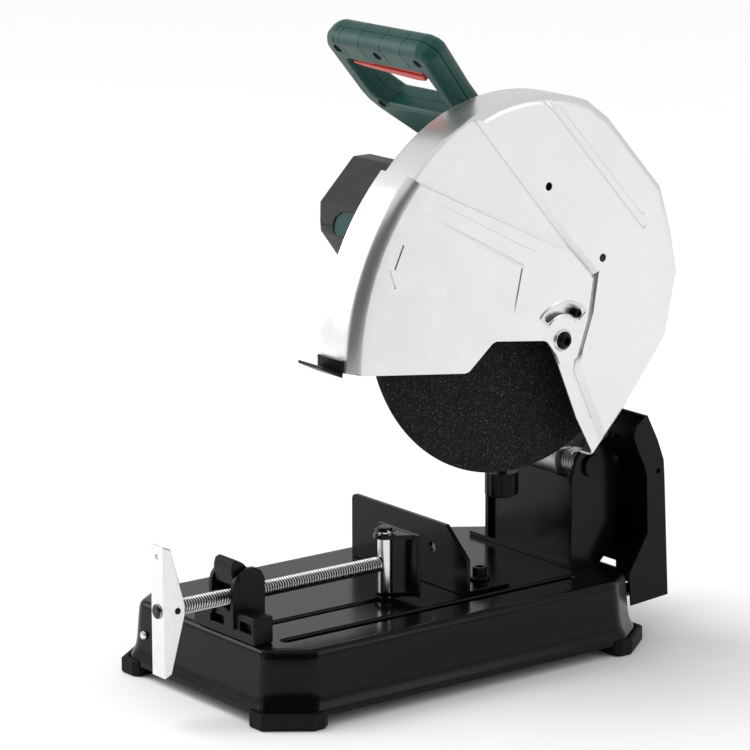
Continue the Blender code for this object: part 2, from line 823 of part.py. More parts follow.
def build_motor():
    direction = math.atan2(MOTOR[1] - SPINDLE[1], MOTOR[0] - SPINDLE[0])
    mesh_phase = direction + math.pi + math.pi / PINION_TEETH
    turned = (direction - math.pi / 2) * GEAR_TEETH / PINION_TEETH
    pinion = prism(involute_outline(PINION_TEETH, MOTOR, mesh_phase + turned), "x", 42.0, 58.0)
    shaft = [
        (-146.0, 0),
        (-146.0, 4.0),
        (-136.0, 4.0),
        (-136.0, 6.0),
        (-128.0, 6.0),
        (-128.0, 14.0),
        (-106.0, 14.0),
        (-106.0, 7.0),
        (-94.0, 7.0),
        (-94.0, 26.0),
        (-36.0, 26.0),
        (-36.0, 7.0),
        (6.0, 7.0),
        (6.0, 40.0),
        (9.0, 40.0),
        (20.0, 14.0),
        (20.0, 7.0),
        (28.0, 7.0),
        (28.0, 5.0),
        (60.0, 5.0),
        (60.0, 0),
    ]
    make("armature", "copper", lathe(shaft, "x", MOTOR, 24), add=[pinion], origin=(0.0, *MOTOR))
    make("field_core", "steel", tube("x", MOTOR, 27.5, CORE_BORE - GAP, -100.0, -32.0, 24))
    start_x = CAP_END_X + GAP
    housing = [(start_x, 0), (start_x, 51.0), (24.0, 52.5), (27.7, 52.5), (27.7, 0)]
    bore = [(-130.0, 0), (-130.0, CORE_BORE), (-26.0, CORE_BORE), (-26.0, 47.0), (31.0, 47.0), (31.0, 0)]
    neck = handle_prism(
        [(-32.0, 168.5), (26.0, 168.5), (26.0, 216.0), (-32.0, 216.0)], 1.0, HANDLE_DEPTH - 3.0
    )
    lug = prism(lug_outline(0.0), "y", 31.5, 50.0)
    make(
        "motor_housing",
        "green",
        lathe(housing, "x", MOTOR, 32),
        add=[neck, lug],
        cut=[lathe(bore, "x", MOTOR, 32)],
    )
    wide, flat = 53.0, 10.3
    corners = [(wide, -flat), (wide, flat), (flat, wide), (-flat, wide), (-wide, flat)]
    corners += [(-wide - 0.5, -flat), (-wide + 0.4, -20.6), (-30.0, -50.6), (-flat, -55.0), (flat, -wide)]
    cap = prism([(MOTOR[0] + y, MOTOR[1] + z) for y, z in corners], "x", -150.0, CAP_END_X)
    soften(cap, 3.0, 2, 40.0, lambda e: max(v.co.x for v in e.verts) < -149.0)
    gland_z = MOTOR[1] - 4.0
    hollow = [(-147.0, 0), (-147.0, 11.3), (-136.0, 11.3), (-134.0, 30.0), (-128.0, CORE_BORE)]
    hollow += [(CAP_END_X + 5.0, CORE_BORE), (CAP_END_X + 5.0, 0)]
    make(
        "motor_cap",
        "grey_plastic",
        cap,
        cut=[
            lathe(hollow, "x", MOTOR, 32),
            prism(lug_outline(0.4), "y", 20.0, 60.0),
            rod("y", (-122.0, gland_z), 6.6, 120.0, 150.0, 16),
            brush_rod(7.4, -1, 34.0, 80.0),
            brush_rod(7.4, 1, 34.0, 60.0),
        ],
    )
    make("brush_cap_front", "black_plastic", brush_rod(7.0, -1, 34.4, 54.2))
    make("brush_cap_rear", "black_plastic", brush_rod(7.0, 1, 34.4, 44.6))
    make(
        "cord_gland",
        "rubber",
        lathe(
            [
                (127.0, 3.4), (127.0, 6.2), (137.9, 6.2), (137.9, 9.0), (142.0, 9.0), (144.0, 7.6),
                (168.0, 5.6), (168.0, 3.4),
            ],
            "y",
            (-122.0, gland_z),
            16,
            ring=True,
        ),
    )


def lug_outline(more):
    """The housing's tongue in the cap's front face, rounded at its far end, grown by a little."""
    low, high = 418.4 - more, 446.0 + more
    points = [(CAP_END_X + 4.0, low), (CAP_END_X + 4.0, high), (-98.0, high), (-112.0 - more, high - 2.5)]
    points += [
        (-122.0 - more, high - 9.0), (-126.0 - more, high - 16.5), (-126.0 - more, low + 2.5), (-122.0, low)
    ]
    return points


def brush_rod(radius, side, low, high):
    """A rod square to the motor axis on the lower front or the upper rear long face."""
    bm = rod("z", (0.0, 0.0), radius, low, high, 16)
    turn = Matrix.Rotation(math.radians(-45.0 if side > 0 else 135.0), 4, "X")
    bm.transform(Matrix.Translation((-117.0, *MOTOR)) @ turn)
    return bm


def build_depth_stop():
    centre = (20.0, 135.0)
    knob = []
    for i in range(32):
        radius = 17.4 if i % 2 else 16.2
        knob.append(arc(centre, radius, 360 * i / 32, 360 * i / 32, 1)[0])
    make(
        "depth_stop",
        "satin_black",
        prism(knob, "z", 159.0, 182.5),
        add=[rod("z", centre, 5.0, 182.0, 214.0, 12), rod("z", centre, 12.0, 156.5, 160.0, 16)],
        origin=(*centre, 170.0),
    )


def build_pivot():
    make(
        "pivot_shaft",
        "satin_black",
        rod("x", PIVOT, SHAFT_RADIUS, -72.0, 76.0, 20),
        add=[rod("x", PIVOT, 12.0, 74.5, 78.5, 20), rod("x", PIVOT, 12.0, -72.0, -66.3, 20)],
    )
    wire, coil, turns, low, high = 1.7, 13.5, 5, 43.0, 64.0
    steps = turns * 14
    path = []
    for i in range(steps + 1):
        angle = math.radians(100.0 + 360.0 * turns * i / steps)
        path.append(
            Vector(
                (
                    low + (high - low) * i / steps,
                    PIVOT[0] + coil * math.cos(angle),
                    PIVOT[1] + coil * math.sin(angle),
                ),
            ),
        )
    first, last = path[0], path[-1]
    path.insert(0, first + Vector((0.0, -19.0, 1.0)))
    path.append(last + Vector((0.0, -16.0, 1.5)))
    make("torsion_spring", "zinc", wire_body(path, wire, 6))


def wire_body(path, radius, sides):
    rings = []
    up = Vector((1.0, 0.0, 0.0))
    for i, point in enumerate(path):
        before = path[max(i - 1, 0)]
        after = path[min(i + 1, len(path) - 1)]
        along = (after - before).normalized()
        side = along.cross(up).normalized()
        over = side.cross(along).normalized()
        ring = []
        for k in range(sides):
            angle = 2 * math.pi * k / sides
            ring.append(point + side * radius * math.cos(angle) + over * radius * math.sin(angle))
        rings.append(ring)
    return stack(rings)


# Guards


def fixed_outline():
    """The fixed guard's rim outline, anticlockwise, carried on below its open mouth."""
    points = [
        (168.0, 216.0),
        (207.0, 257.0),
        (262.0, 325.0),
        (276.5, 391.0),
        (267.5, 436.0),
        (253.0, 481.0),
        (184.0, 557.0),
    ]
    points += arc(FIXED_CENTRE, FIXED_RADIUS, 70, 176, 22)
    points += [(-110.0, 330.0), (-60.0, 250.0), (60.0, 195.0)]
    return points


def shell_rings(outline, low, high, fillet, inset_by, steps=4):
    rings = [[at("x", a, b, low) for a, b in inset(outline, inset_by)]]
    for i in range(steps + 1):
        angle = math.radians(90.0 * i / steps)
        back = inset_by + fillet * (1 - math.cos(angle))
        rings.append(
            [at("x", a, b, high - fillet + fillet * math.sin(angle)) for a, b in inset(outline, back)]
        )
    return rings


def build_fixed_guard():
    outline = fixed_outline()
    fillet = 10.0
    outer = stack(shell_rings(outline, GUARD_FAR_X, FIXED_NEAR_X, fillet, 0.0))
    inner = stack(
        shell_rings(outline, GUARD_FAR_X - 5, FIXED_NEAR_X - GUARD_SHEET, fillet - GUARD_SHEET, GUARD_SHEET)
    )
    joggle = [(-7.0, 583.5), (14.0, 569.6), (134.6, 430.2), (163.4, 400.8), (156.7, 359.9), (143.9, 324.6)]
    joggle += [(140.1, 306.6), (164.0, 254.6), (182.0, 215.0)]
    front = joggle + [(-180.0, 215.0), (-180.0, 640.0), (-50.0, 640.0)]
    rest = front[len(joggle):]
    shifted = [(y + 9.2, z + 7.8) for y, z in joggle] + rest
    low_ring = [at("x", a, b, FRONT_ZONE_X) for a, b in front]
    step_outer = stack([low_ring, [at("x", a, b, 133.0) for a, b in shifted]])
    back = [(y, z) for y, z in joggle] + rest
    shifted_back = [(y + 9.0, z + 7.6) for y, z in joggle] + rest
    low = FRONT_ZONE_X - GUARD_SHEET
    step_inner = stack(
        [[at("x", a, b, low) for a, b in back], [at("x", a, b, 131.0) for a, b in shifted_back]]
    )
    mouth = [
        (166.0, 200.0),
        (165.0, 221.0),
        (144.9, 257.4),
        (119.8, 316.9),
        (100.0, 356.0),
        (30.0, 366.0),
        (-60.0, 388.0),
        (-125.0, 412.0),
        (-180.0, 412.0),
        (-180.0, 150.0),
        (166.0, 150.0),
    ]
    guide = arc(GUARD_PIVOT, SLOT_RADIUS, 53.5, 53.5, 1)[0]
    make(
        "fixed_guard",
        "guard_white",
        outer,
        cut=[
            step_outer,
            carved(inner, [step_inner]),
            prism(
                [(140.0, 190.0), (300.0, 190.0), (300.0, 322.0), (196.0, 322.0), (140.0, 300.0)],
                "x",
                60.0,
                107.0,
            ),
            prism(mouth, "x", 60.0, 150.0),
            rod("x", GUARD_PIVOT, 5.3, 110.0, 140.0, 16),
            rod("x", guide, 4.7, 110.0, 140.0, 16),
            rod("x", (102.6, 497.7), 4.3, 110.0, 140.0, 12),
            rod("x", (173.2, 417.9), 4.3, 110.0, 140.0, 12),
        ],
        smooth=28.0,
    )
    plate = prism(outline, "x", 79.0, GUARD_FAR_X - GAP)
    mouth_back = [(y, z - 4.0 if z > 300 else z) for y, z in mouth]
    make(
        "guard_back_plate",
        "guard_white",
        plate,
        cut=[prism(mouth_back, "x", 60.0, 150.0), rod("x", SPINDLE, 22.0, 70.0, 90.0, 24)],
    )
    for name, centre in (("guard_plug_upper", (102.6, 497.7)), ("guard_plug_lower", (173.2, 417.9))):
        surface = FRONT_ZONE_X if name.endswith("upper") else FIXED_NEAR_X
        plug = [
            (surface - 4.0, 0), (surface - 4.0, 4.0), (surface - 0.9, 4.0), (surface - 0.2, 3.4),
            (surface - 0.2, 0),
        ]
        make(name, "black_plastic", lathe(plug, "x", centre, 12))


def build_moving_guard():
    centre = GUARD_PIVOT
    start, end = 135.4, 179.6
    rest = [
        (-129.0, 341.0),
        (-3.0, 325.5),
        (2.0, 326.5),
        (31.0, 350.5),
        (36.0, 352.0),
        (97.0, 344.2),
        (101.0, 342.0),
        (112.5, 327.8),
        (117.0, 318.0),
        (124.0, 315.0),
        (139.0, 321.0),
        (153.0, 359.0),
        (159.0, 399.0),
        (130.0, 427.5),
    ]

    fillet = 13.0
    inside = fillet - GUARD_SHEET
    low = GUARD_FAR_X - 6.0
    levels = [(GUARD_FAR_X - 0.6, 0.0)]
    hollow = [(low, 0), (low, MOVING_RADIUS - GUARD_SHEET)]
    for i in range(5):
        angle = math.radians(22.5 * i)
        start_x = MOVING_NEAR_X - fillet
        levels.append((start_x + fillet * math.sin(angle), fillet * (1 - math.cos(angle))))
        hollow.append(
            (start_x + inside * math.sin(angle), MOVING_RADIUS - fillet + inside * math.cos(angle))
        )
    shells = []
    for x, drop in levels:
        curve = arc(centre, MOVING_RADIUS - drop, start, end, 18)
        shells.append([at("x", a, b, x) for a, b in curve + rest])
    hollow.append((MOVING_NEAR_X - GUARD_SHEET, 0))
    slot = arc_slot(centre, SLOT_RADIUS, 5.6, 53.5, 126.0, "x", 120.0, 140.0, 12)
    make(
        "moving_guard",
        "guard_white",
        stack(shells),
        cut=[lathe(hollow, "x", centre, 144), slot, rod("x", centre, 5.3, 120.0, 140.0, 16)],
        origin=(MOVING_NEAR_X, *centre),
        smooth=28.0,
    )
    tab = [
        (-143.2, 339.0), (-167.5, 350.5), (-168.5, 353.0), (-166.6, 353.4), (-145.0, 343.2),
        (-145.0, 356.0), (-142.4, 356.0),
    ]
    make("guard_tab", "satin_black", prism(tab, "x", 82.0, 120.0), origin=(MOVING_NEAR_X, *centre))
    low = FRONT_ZONE_X - GUARD_SHEET - GAP
    make(
        "guard_pivot_bolt",
        "satin_black",
        lathe(
            [
                (low - 5.0, 0),
                (low - 5.0, 8.5),
                (low, 8.5),
                (low, 5.0),
                (FRONT_ZONE_X + GAP, 5.0),
                (FRONT_ZONE_X + GAP, 10.0),
                (MOVING_NEAR_X - GUARD_SHEET - GAP, 10.0),
                (MOVING_NEAR_X - GUARD_SHEET - GAP, 5.0),
                (MOVING_NEAR_X + GAP, 5.0),
                (MOVING_NEAR_X + GAP, 10.2),
                (MOVING_NEAR_X + 1.6, 10.2),
                (MOVING_NEAR_X + 1.6, 6.8),
                (MOVING_NEAR_X + 6.0, 6.8),
                (MOVING_NEAR_X + 6.8, 6.0),
                (MOVING_NEAR_X + 6.8, 0),
            ],
            "x",
            centre,
            20,
        ),
        cut=[hexagon("x", centre, 3.6, MOVING_NEAR_X + 3.4, MOVING_NEAR_X + 9.0)],
    )
    guide = arc(centre, SLOT_RADIUS, 53.5, 53.5, 1)[0]
    make(
        "guide_screw",
        "satin_black",
        lathe(
            [
                (low - 4.0, 0), (low - 4.0, 8.0), (low, 8.0), (low, 4.4), (133.4, 4.4),
                (134.0, 3.8), (134.0, 0),
            ],
            "x",
            guide,
            16,
        ),
        cut=[hexagon("x", guide, 2.4, 131.5, 136.0)],
    )


# Handle


def handle_matrix():
    """Local x stays x, local y runs from the grip to the neck and local z through the handle's depth."""
    down = Vector((0.0, math.cos(HANDLE_TILT), -math.sin(HANDLE_TILT)))
    through = Vector((0.0, math.sin(HANDLE_TILT), math.cos(HANDLE_TILT)))
    across = Vector((1.0, 0.0, 0.0))
    turn = Matrix((across, down, through)).transposed().to_4x4()
    return Matrix.Translation(HANDLE_ORIGIN) @ turn


def in_handle(bm):
    bm.transform(handle_matrix())
    bmesh.ops.recalc_face_normals(bm, faces=bm.faces)
    return bm


def handle_prism(points, low, high):
    return in_handle(prism(points, "z", low, high))


def build_handle():
    half = HANDLE_HALF
    top = [(-68.0, -17.5), (-79.0, -13.0), (-half, -4.0)]
    far_side = [(-half, 64.0), (-83.0, 78.0), (-73.0, 91.0), (-33.0, 124.0), (-33.0, 168.0)]
    near_side = [(33.0, 168.0), (33.0, 124.0), (71.0, 93.0), (78.2, 82.0), (78.2, 55.0)]
    outline = near_side + [(-x, y) for x, y in reversed(top)] + top + far_side
    outline.reverse()
    window = [
        (60.0, 16.0), (61.0, 20.0), (61.0, 64.0), (48.0, 76.5), (-48.0, 76.5), (-61.0, 64.0),
        (-61.0, 20.0), (-60.0, 16.0),
    ]
    middle = HANDLE_DEPTH / 2 - 1.0
    front, back = -1.0, HANDLE_DEPTH - 1.0
    screws = [(-64.0, 0.0), (0.0, 0.0), (64.0, 0.0), (-57.0, 78.0)]
    rounding = ((0.0, 11.0), (1.2, 7.0), (4.0, 3.2), (8.0, 0.8), (12.0, 0.0))
    for name, face, far in (("handle_lower", front, middle - 0.15), ("handle_upper", back, middle + 0.15)):
        sign = 1.0 if far > face else -1.0
        rings = [[(a, b, face + sign * deep) for a, b in inset(outline, drop)] for deep, drop in rounding]
        rings.append([(a, b, far) for a, b in outline])
        flare = []
        for deep, more in ((-0.5, 4.5), (0.4, 3.0), (2.0, 1.2), (5.0, 0.0)):
            flare.append([(a, b, face + sign * deep) for a, b in inset(window, -more)])
        flare.append([(a, b, far + sign) for a, b in window])
        low, high = sorted((far + sign, face + sign * 3.0))
        hollows = [
            in_handle(stack(flare)),
            handle_prism([(-56.0, -11.0), (-7.5, -11.0), (-7.5, 14.0), (-56.0, 14.0)], low, high),
            handle_prism([(7.5, -11.0), (56.0, -11.0), (56.0, 14.0), (7.5, 14.0)], low, high),
            handle_prism([(-56.0, 7.5), (56.0, 7.5), (56.0, 20.0), (-56.0, 20.0)], low, high),
            handle_prism([(-22.0, 98.0), (22.0, 98.0), (22.0, 180.0), (-22.0, 180.0)], low, high),
        ]
        for x, y in screws:
            if sign > 0:
                hollows.append(in_handle(rod("z", (x, y), 5.0, -3.0, 3.0, 16)))
                hollows.append(in_handle(rod("z", (x, y), 2.6, -3.0, 20.0, 12)))
            else:
                hollows.append(in_handle(rod("z", (x, y), 2.3, 10.0, 25.0, 12)))
        make(name, "green", in_handle(stack(rings)), cut=hollows)
    for i, (x, y) in enumerate(screws):
        screw = [(0.9, 0), (0.9, 4.4), (2.7, 4.4), (2.7, 2.0), (23.0, 2.0), (23.0, 0)]
        make(f"handle_screw_{i + 1}", "satin_black", in_handle(lathe(screw, "z", (x, y), 12)))
    stem = [
        (-54.0, 12.0), (-52.0, 9.0), (-10.0, 10.8), (10.0, 10.8), (12.0, 4.0), (48.0, 4.0),
        (52.0, 8.0), (52.0, 21.0), (-50.0, 17.8),
    ]
    paddle = [
        (-55.0, 17.3), (-10.0, 19.2), (55.0, 21.9), (54.0, 27.0), (40.0, 28.0), (-40.0, 22.4), (-54.0, 19.6)
    ]
    hinge = handle_matrix() @ Vector((-50.0, 13.0, middle))
    make(
        "trigger",
        "red",
        handle_prism(stem, middle - 11.8, middle + 11.8),
        add=[handle_prism(paddle, middle - 14.3, middle + 14.3)],
        origin=tuple(hinge),
    )
    make(
        "switch_module",
        "black_plastic",
        handle_prism(
            [(12.0, -10.5), (48.0, -10.5), (48.0, -1.0), (12.0, -1.0)], middle - 8.0, middle + 8.0
        ),
    )


def build_lock_button():
    make(
        "lock_button",
        "red",
        lathe(
            [(27.5, 0), (27.5, 5.8), (28.6, 6.6), (30.4, 6.6), (30.4, 4.0), (38.0, 4.0), (38.0, 0)],
            "y",
            (60.5, SPINDLE[1]),
            14,
        ),
        origin=(60.5, 30.0, SPINDLE[1]),
    )


clear_scene()
build_base()
build_stand()
build_spark_guard()
build_fence()
build_vise()
build_gear_case()
build_spindle()
build_motor()
build_depth_stop()
build_pivot()
build_fixed_guard()
build_moving_guard()
build_handle()
build_lock_button()
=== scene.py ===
import json
import math
import random

import bmesh
import bpy
from mathutils import Matrix, Vector


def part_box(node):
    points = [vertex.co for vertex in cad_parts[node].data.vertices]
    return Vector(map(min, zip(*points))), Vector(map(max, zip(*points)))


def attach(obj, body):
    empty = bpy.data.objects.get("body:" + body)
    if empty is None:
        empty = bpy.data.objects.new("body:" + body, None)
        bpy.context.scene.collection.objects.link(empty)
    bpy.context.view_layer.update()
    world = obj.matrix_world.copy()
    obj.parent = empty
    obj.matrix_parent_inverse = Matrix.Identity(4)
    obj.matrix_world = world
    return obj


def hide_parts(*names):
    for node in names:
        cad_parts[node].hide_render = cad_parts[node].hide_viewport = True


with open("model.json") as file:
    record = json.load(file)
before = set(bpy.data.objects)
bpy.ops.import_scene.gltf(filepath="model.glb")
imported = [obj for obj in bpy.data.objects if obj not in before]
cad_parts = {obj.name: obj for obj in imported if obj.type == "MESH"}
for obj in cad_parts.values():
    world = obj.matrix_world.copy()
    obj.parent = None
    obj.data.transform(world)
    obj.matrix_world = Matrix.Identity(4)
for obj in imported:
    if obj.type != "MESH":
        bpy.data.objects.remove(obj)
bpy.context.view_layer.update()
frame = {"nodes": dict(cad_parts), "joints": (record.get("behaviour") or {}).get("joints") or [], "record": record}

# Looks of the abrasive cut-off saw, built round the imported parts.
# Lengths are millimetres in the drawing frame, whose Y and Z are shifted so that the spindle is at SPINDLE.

MM = 0.001

JOINTS = {joint["name"]: joint for joint in frame["joints"]}
BODY_OF = {node: body for body, nodes in frame["record"]["behaviour"]["bodies"].items() for node in nodes}

SPINDLE = (85.6, 383.8)
SHIFT = Vector(JOINTS["spindle_spin"]["pos_m"]) / MM - Vector((0.0, *SPINDLE))
SHIFT.x = 0.0


def joint_place(name):
    place = Vector(JOINTS[name]["pos_m"]) / MM - SHIFT
    return place.y, place.z


MOTOR = joint_place("armature_spin")
PIVOT = joint_place("head_swing")
GUARD_PIVOT = joint_place("guard_lift")


def node_box(node):
    low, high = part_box(node)
    return low / MM - SHIFT, high / MM - SHIFT


PLANE_OF = {"x": (1, 2, 0), "y": (0, 2, 1), "z": (0, 1, 2)}
FLAT_TURN = math.radians(0.4)
WELD_REACH = 0.004


# Mesh code


def at(axis, a, b, along):
    point = [0.0, 0.0, 0.0]
    first, second, third = PLANE_OF[axis]
    point[first], point[second], point[third] = a, b, along
    return point


def arc(centre, radius, start, end, steps):
    points = []
    for i in range(steps + 1):
        angle = math.radians(start + (end - start) * i / steps)
        points.append((centre[0] + radius * math.cos(angle), centre[1] + radius * math.sin(angle)))
    return points


def circle(centre, radius, steps):
    return arc(centre, radius, 0, 360 * (steps - 1) / steps, steps - 1)


def stack(rings, closed=False):
    """A body through rings of equal point count, capped at its ends, or joined end to start."""
    bm = bmesh.new()
    loops = [[bm.verts.new(point) for point in ring] for ring in rings]
    count = len(loops[0])
    pairs = list(zip(loops, loops[1:]))
    if closed:
        pairs.append((loops[-1], loops[0]))
    for low, high in pairs:
        for i in range(count):
            j = (i + 1) % count
            bm.faces.new((low[i], low[j], high[j], high[i]))
    if not closed:
        bm.faces.new(list(reversed(loops[0])))
        bm.faces.new(loops[-1])
    bmesh.ops.recalc_face_normals(bm, faces=bm.faces)
    return bm


def prism(points, axis, low, high):
    return stack([[at(axis, a, b, along) for a, b in points] for along in (low, high)])


def box(x, y, z):
    return prism([(x[0], y[0]), (x[1], y[0]), (x[1], y[1]), (x[0], y[1])], "z", z[0], z[1])


def lathe(profile, axis, centre, steps=48, ring=False):
    """Turns (along, radius) points round an axis; ring joins the last point to the first."""
    bm = bmesh.new()
    loops = []
    for along, radius in profile:
        if radius < 1e-6:
            loops.append([bm.verts.new(at(axis, centre[0], centre[1], along))])
        else:
            loops.append([bm.verts.new(at(axis, a, b, along)) for a, b in circle(centre, radius, steps)])
    pairs = list(zip(loops, loops[1:]))
    if ring:
        pairs.append((loops[-1], loops[0]))
    for low, high in pairs:
        for i in range(steps):
            j = (i + 1) % steps
            face = [low[i % len(low)], low[j % len(low)], high[j % len(high)], high[i % len(high)]]
            kept = [v for k, v in enumerate(face) if v not in face[:k]]
            if len(kept) > 2:
                bm.faces.new(kept)
    bmesh.ops.recalc_face_normals(bm, faces=bm.faces)
    return bm


def rod(axis, centre, radius, low, high, steps=32):
    return lathe([(low, 0), (low, radius), (high, radius), (high, 0)], axis, centre, steps)


def sweep(path, radius, sides=10, up=(1.0, 0.0, 0.0)):
    """A round wire along a path of points."""
    rings = []
    for i, point in enumerate(path):
        along = (path[min(i + 1, len(path) - 1)] - path[max(i - 1, 0)]).normalized()
        side = along.cross(Vector(up)).normalized()
        over = side.cross(along).normalized()
        ring = []
        for k in range(sides):
            angle = 2 * math.pi * k / sides
            ring.append(point + side * radius * math.cos(angle) + over * radius * math.sin(angle))
        rings.append(ring)
    return stack(rings)


def inset(points, distance):
    """Moves each side of an anticlockwise outline inwards."""
    moved = []
    count = len(points)
    for i in range(count):
        before, here, after = points[i - 1], points[i], points[(i + 1) % count]
        d1 = Vector((here[0] - before[0], here[1] - before[1])).normalized()
        d2 = Vector((after[0] - here[0], after[1] - here[1])).normalized()
        bisector = Vector((-d1.y - d2.y, d1.x + d2.x))
        step = bisector * (2 * distance / bisector.length_squared)
        moved.append((here[0] + step.x, here[1] + step.y))
    return moved


def rounded(points, radius, steps=5):
    """The outline with each corner turned by a short curve, always of the same number of points."""
    turned = []
    count = len(points)
    for i in range(count):
        here = Vector(points[i])
        before, after = Vector(points[i - 1]), Vector(points[(i + 1) % count])
        turn = abs((here - before).angle(after - here, 0.0))
        trim = min(radius * math.tan(turn / 2), 0.46 * (here - before).length, 0.46 * (after - here).length)
        start = here + (before - here).normalized() * max(trim, 0.02)
        end = here + (after - here).normalized() * max(trim, 0.02)
        for k in range(steps + 1):
            t = k / steps
            turned.append(tuple(start * (1 - t) ** 2 + here * 2 * t * (1 - t) + end * t**2))
    return turned


def raw_object(bm, name):
    mesh = bpy.data.meshes.new(name)
    bm.to_mesh(mesh)
    bm.free()
    obj = bpy.data.objects.new(name, mesh)
    bpy.context.scene.collection.objects.link(obj)
    return obj


def combined(bm, others, operation="DIFFERENCE"):
    """The shape with others cut from it or added to it."""
    obj = raw_object(bm, "blank")
    for other in others:
        tool = raw_object(other, "tool")
        modifier = obj.modifiers.new("boolean", "BOOLEAN")
        modifier.operation = operation
        modifier.solver = "EXACT"
        modifier.object = tool
        bpy.context.view_layer.update()
        graph = bpy.context.evaluated_depsgraph_get()
        mesh = bpy.data.meshes.new_from_object(obj.evaluated_get(graph))
        obj.modifiers.clear()
        obj.data = mesh
        bpy.data.objects.remove(tool, do_unlink=True)
    left = bmesh.new()
    left.from_mesh(obj.data)
    bpy.data.objects.remove(obj, do_unlink=True)
    return left


def joined(*shapes):
    """Several shapes in one mesh, for beads and ribs that sit into a surface."""
    whole = bmesh.new()
    for shape in shapes:
        mesh = bpy.data.meshes.new("part")
        shape.to_mesh(mesh)
        shape.free()
        whole.from_mesh(mesh)
        bpy.data.meshes.remove(mesh)
    return whole


def eased(bm, width, segments=2, least=32.0):
    """Cleans flat triangles into whole faces, then rounds edges that turn by more than the least angle."""
    bmesh.ops.remove_doubles(bm, verts=bm.verts, dist=WELD_REACH)
    bmesh.ops.dissolve_limit(
        bm, angle_limit=math.radians(0.7), use_dissolve_boundaries=False, verts=bm.verts, edges=bm.edges
    )
    if width > 0:
        sharp = [
            e for e in bm.edges if len(e.link_faces) == 2 and e.calc_face_angle(0.0) > math.radians(least)
        ]
        bmesh.ops.bevel(
            bm, geom=sharp, offset=width, segments=segments, profile=0.5, affect="EDGES", clamp_overlap=True
        )
    return bm


def finished(bm, name, look, body, stands_for=(), smooth=33.0):
    """One shown piece: shaded, painted and riding on its body, in place of the CAD nodes named."""
    bmesh.ops.transform(bm, matrix=Matrix.Scale(MM, 4) @ Matrix.Translation(SHIFT), verts=bm.verts)
    obj = raw_object(bm, name)
    for polygon in obj.data.polygons:
        polygon.use_smooth = True
    obj.data.set_sharp_from_angle(angle=math.radians(smooth))
    weighted = obj.modifiers.new("weighted_normals", "WEIGHTED_NORMAL")
    weighted.keep_sharp = True
    weighted.weight = 80
    obj.data.materials.append(MATERIALS[look])
    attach(obj, body)
    if stands_for:
        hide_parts(*stands_for)
    return obj


def cad_shape(node):
    bm = bmesh.new()
    bm.from_mesh(frame["nodes"][node].data)
    bmesh.ops.transform(bm, matrix=Matrix.Translation(-SHIFT) @ Matrix.Scale(1 / MM, 4), verts=bm.verts)
    bmesh.ops.remove_doubles(bm, verts=bm.verts, dist=WELD_REACH)
    return bm


def refined(node, look, width=0.4, segments=2, least=32.0, smooth=33.0, extra=()):
    """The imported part's own shape with its edges rounded, and small pressed or cast details added."""
    bm = eased(cad_shape(node), width, segments, least)
    if extra:
        bm = joined(bm, *extra)
    return finished(bm, node + "_shown", look, BODY_OF[node], (node,), smooth)


# Materials


class Paint:
    """A Principled material with noise driven colour, roughness and bump, in object coordinates."""

    def __init__(self, name, colour, roughness, metallic=0.0, specular=0.5):
        self.material = bpy.data.materials.new("look_" + name)
        self.material.use_nodes = True
        self.tree = self.material.node_tree
        self.shader = self.tree.nodes["Principled BSDF"]
        self.shader.inputs["Base Color"].default_value = (*colour, 1.0)
        self.shader.inputs["Roughness"].default_value = roughness
        self.shader.inputs["Metallic"].default_value = metallic
        self.shader.inputs["Specular IOR Level"].default_value = specular
        self.place = self.node("ShaderNodeTexCoord").outputs["Object"]
        self.bumped = None

    def node(self, kind, **values):
        made = self.tree.nodes.new(kind)
        for key, value in values.items():
            if hasattr(made, key):
                setattr(made, key, value)
            else:
                made.inputs[key].default_value = value
        return made

    def link(self, output, target):
        self.tree.links.new(output, target)

    def stretched(self, factors):
        mapping = self.node("ShaderNodeMapping")
        mapping.inputs["Scale"].default_value = factors
        self.link(self.place, mapping.inputs["Vector"])
        return mapping.outputs["Vector"]

    def noise(self, scale, detail=3.0, rough=0.55, place=None):
        made = self.node("ShaderNodeTexNoise", Scale=scale, Detail=detail, Roughness=rough)
        self.link(place or self.place, made.inputs["Vector"])
        return made.outputs["Fac"]

    def cells(self, scale, place=None, feature="F1", output="Distance"):
        made = self.node("ShaderNodeTexVoronoi", feature=feature, Scale=scale)
        self.link(place or self.place, made.inputs["Vector"])
        return made.outputs[output]

    def ranged(self, value, low, high, to_low, to_high):
        made = self.node("ShaderNodeMapRange")
        for key, number in (("From Min", low), ("From Max", high), ("To Min", to_low), ("To Max", to_high)):
            made.inputs[key].default_value = number
        self.link(value, made.inputs["Value"])
        return made.outputs["Result"]

    def maths(self, operation, first, second):
        made = self.node("ShaderNodeMath", operation=operation)
        for slot, value in zip(made.inputs, (first, second)):
            if isinstance(value, (int, float)):
                slot.default_value = value
            else:
                self.link(value, slot)
        return made.outputs["Value"]

    def blended(self, factor, first, second):
        made = self.node("ShaderNodeMix", data_type="RGBA")
        self.link(factor, made.inputs["Factor"])
        for slot, value in ((made.inputs[6], first), (made.inputs[7], second)):
            if isinstance(value, tuple):
                slot.default_value = (*value, 1.0)
            else:
                self.link(value, slot)
        return made.outputs[2]

    def colour(self, value):
        self.link(value, self.shader.inputs["Base Color"])

    def roughness(self, value):
        self.link(value, self.shader.inputs["Roughness"])

    def bump(self, value, depth_mm, strength=1.0):
        made = self.node("ShaderNodeBump", Strength=strength, Distance=depth_mm * MM)
        self.link(value, made.inputs["Height"])
        if self.bumped is not None:
            self.link(self.bumped, made.inputs["Normal"])
        self.bumped = made.outputs["Normal"]
        self.link(self.bumped, self.shader.inputs["Normal"])


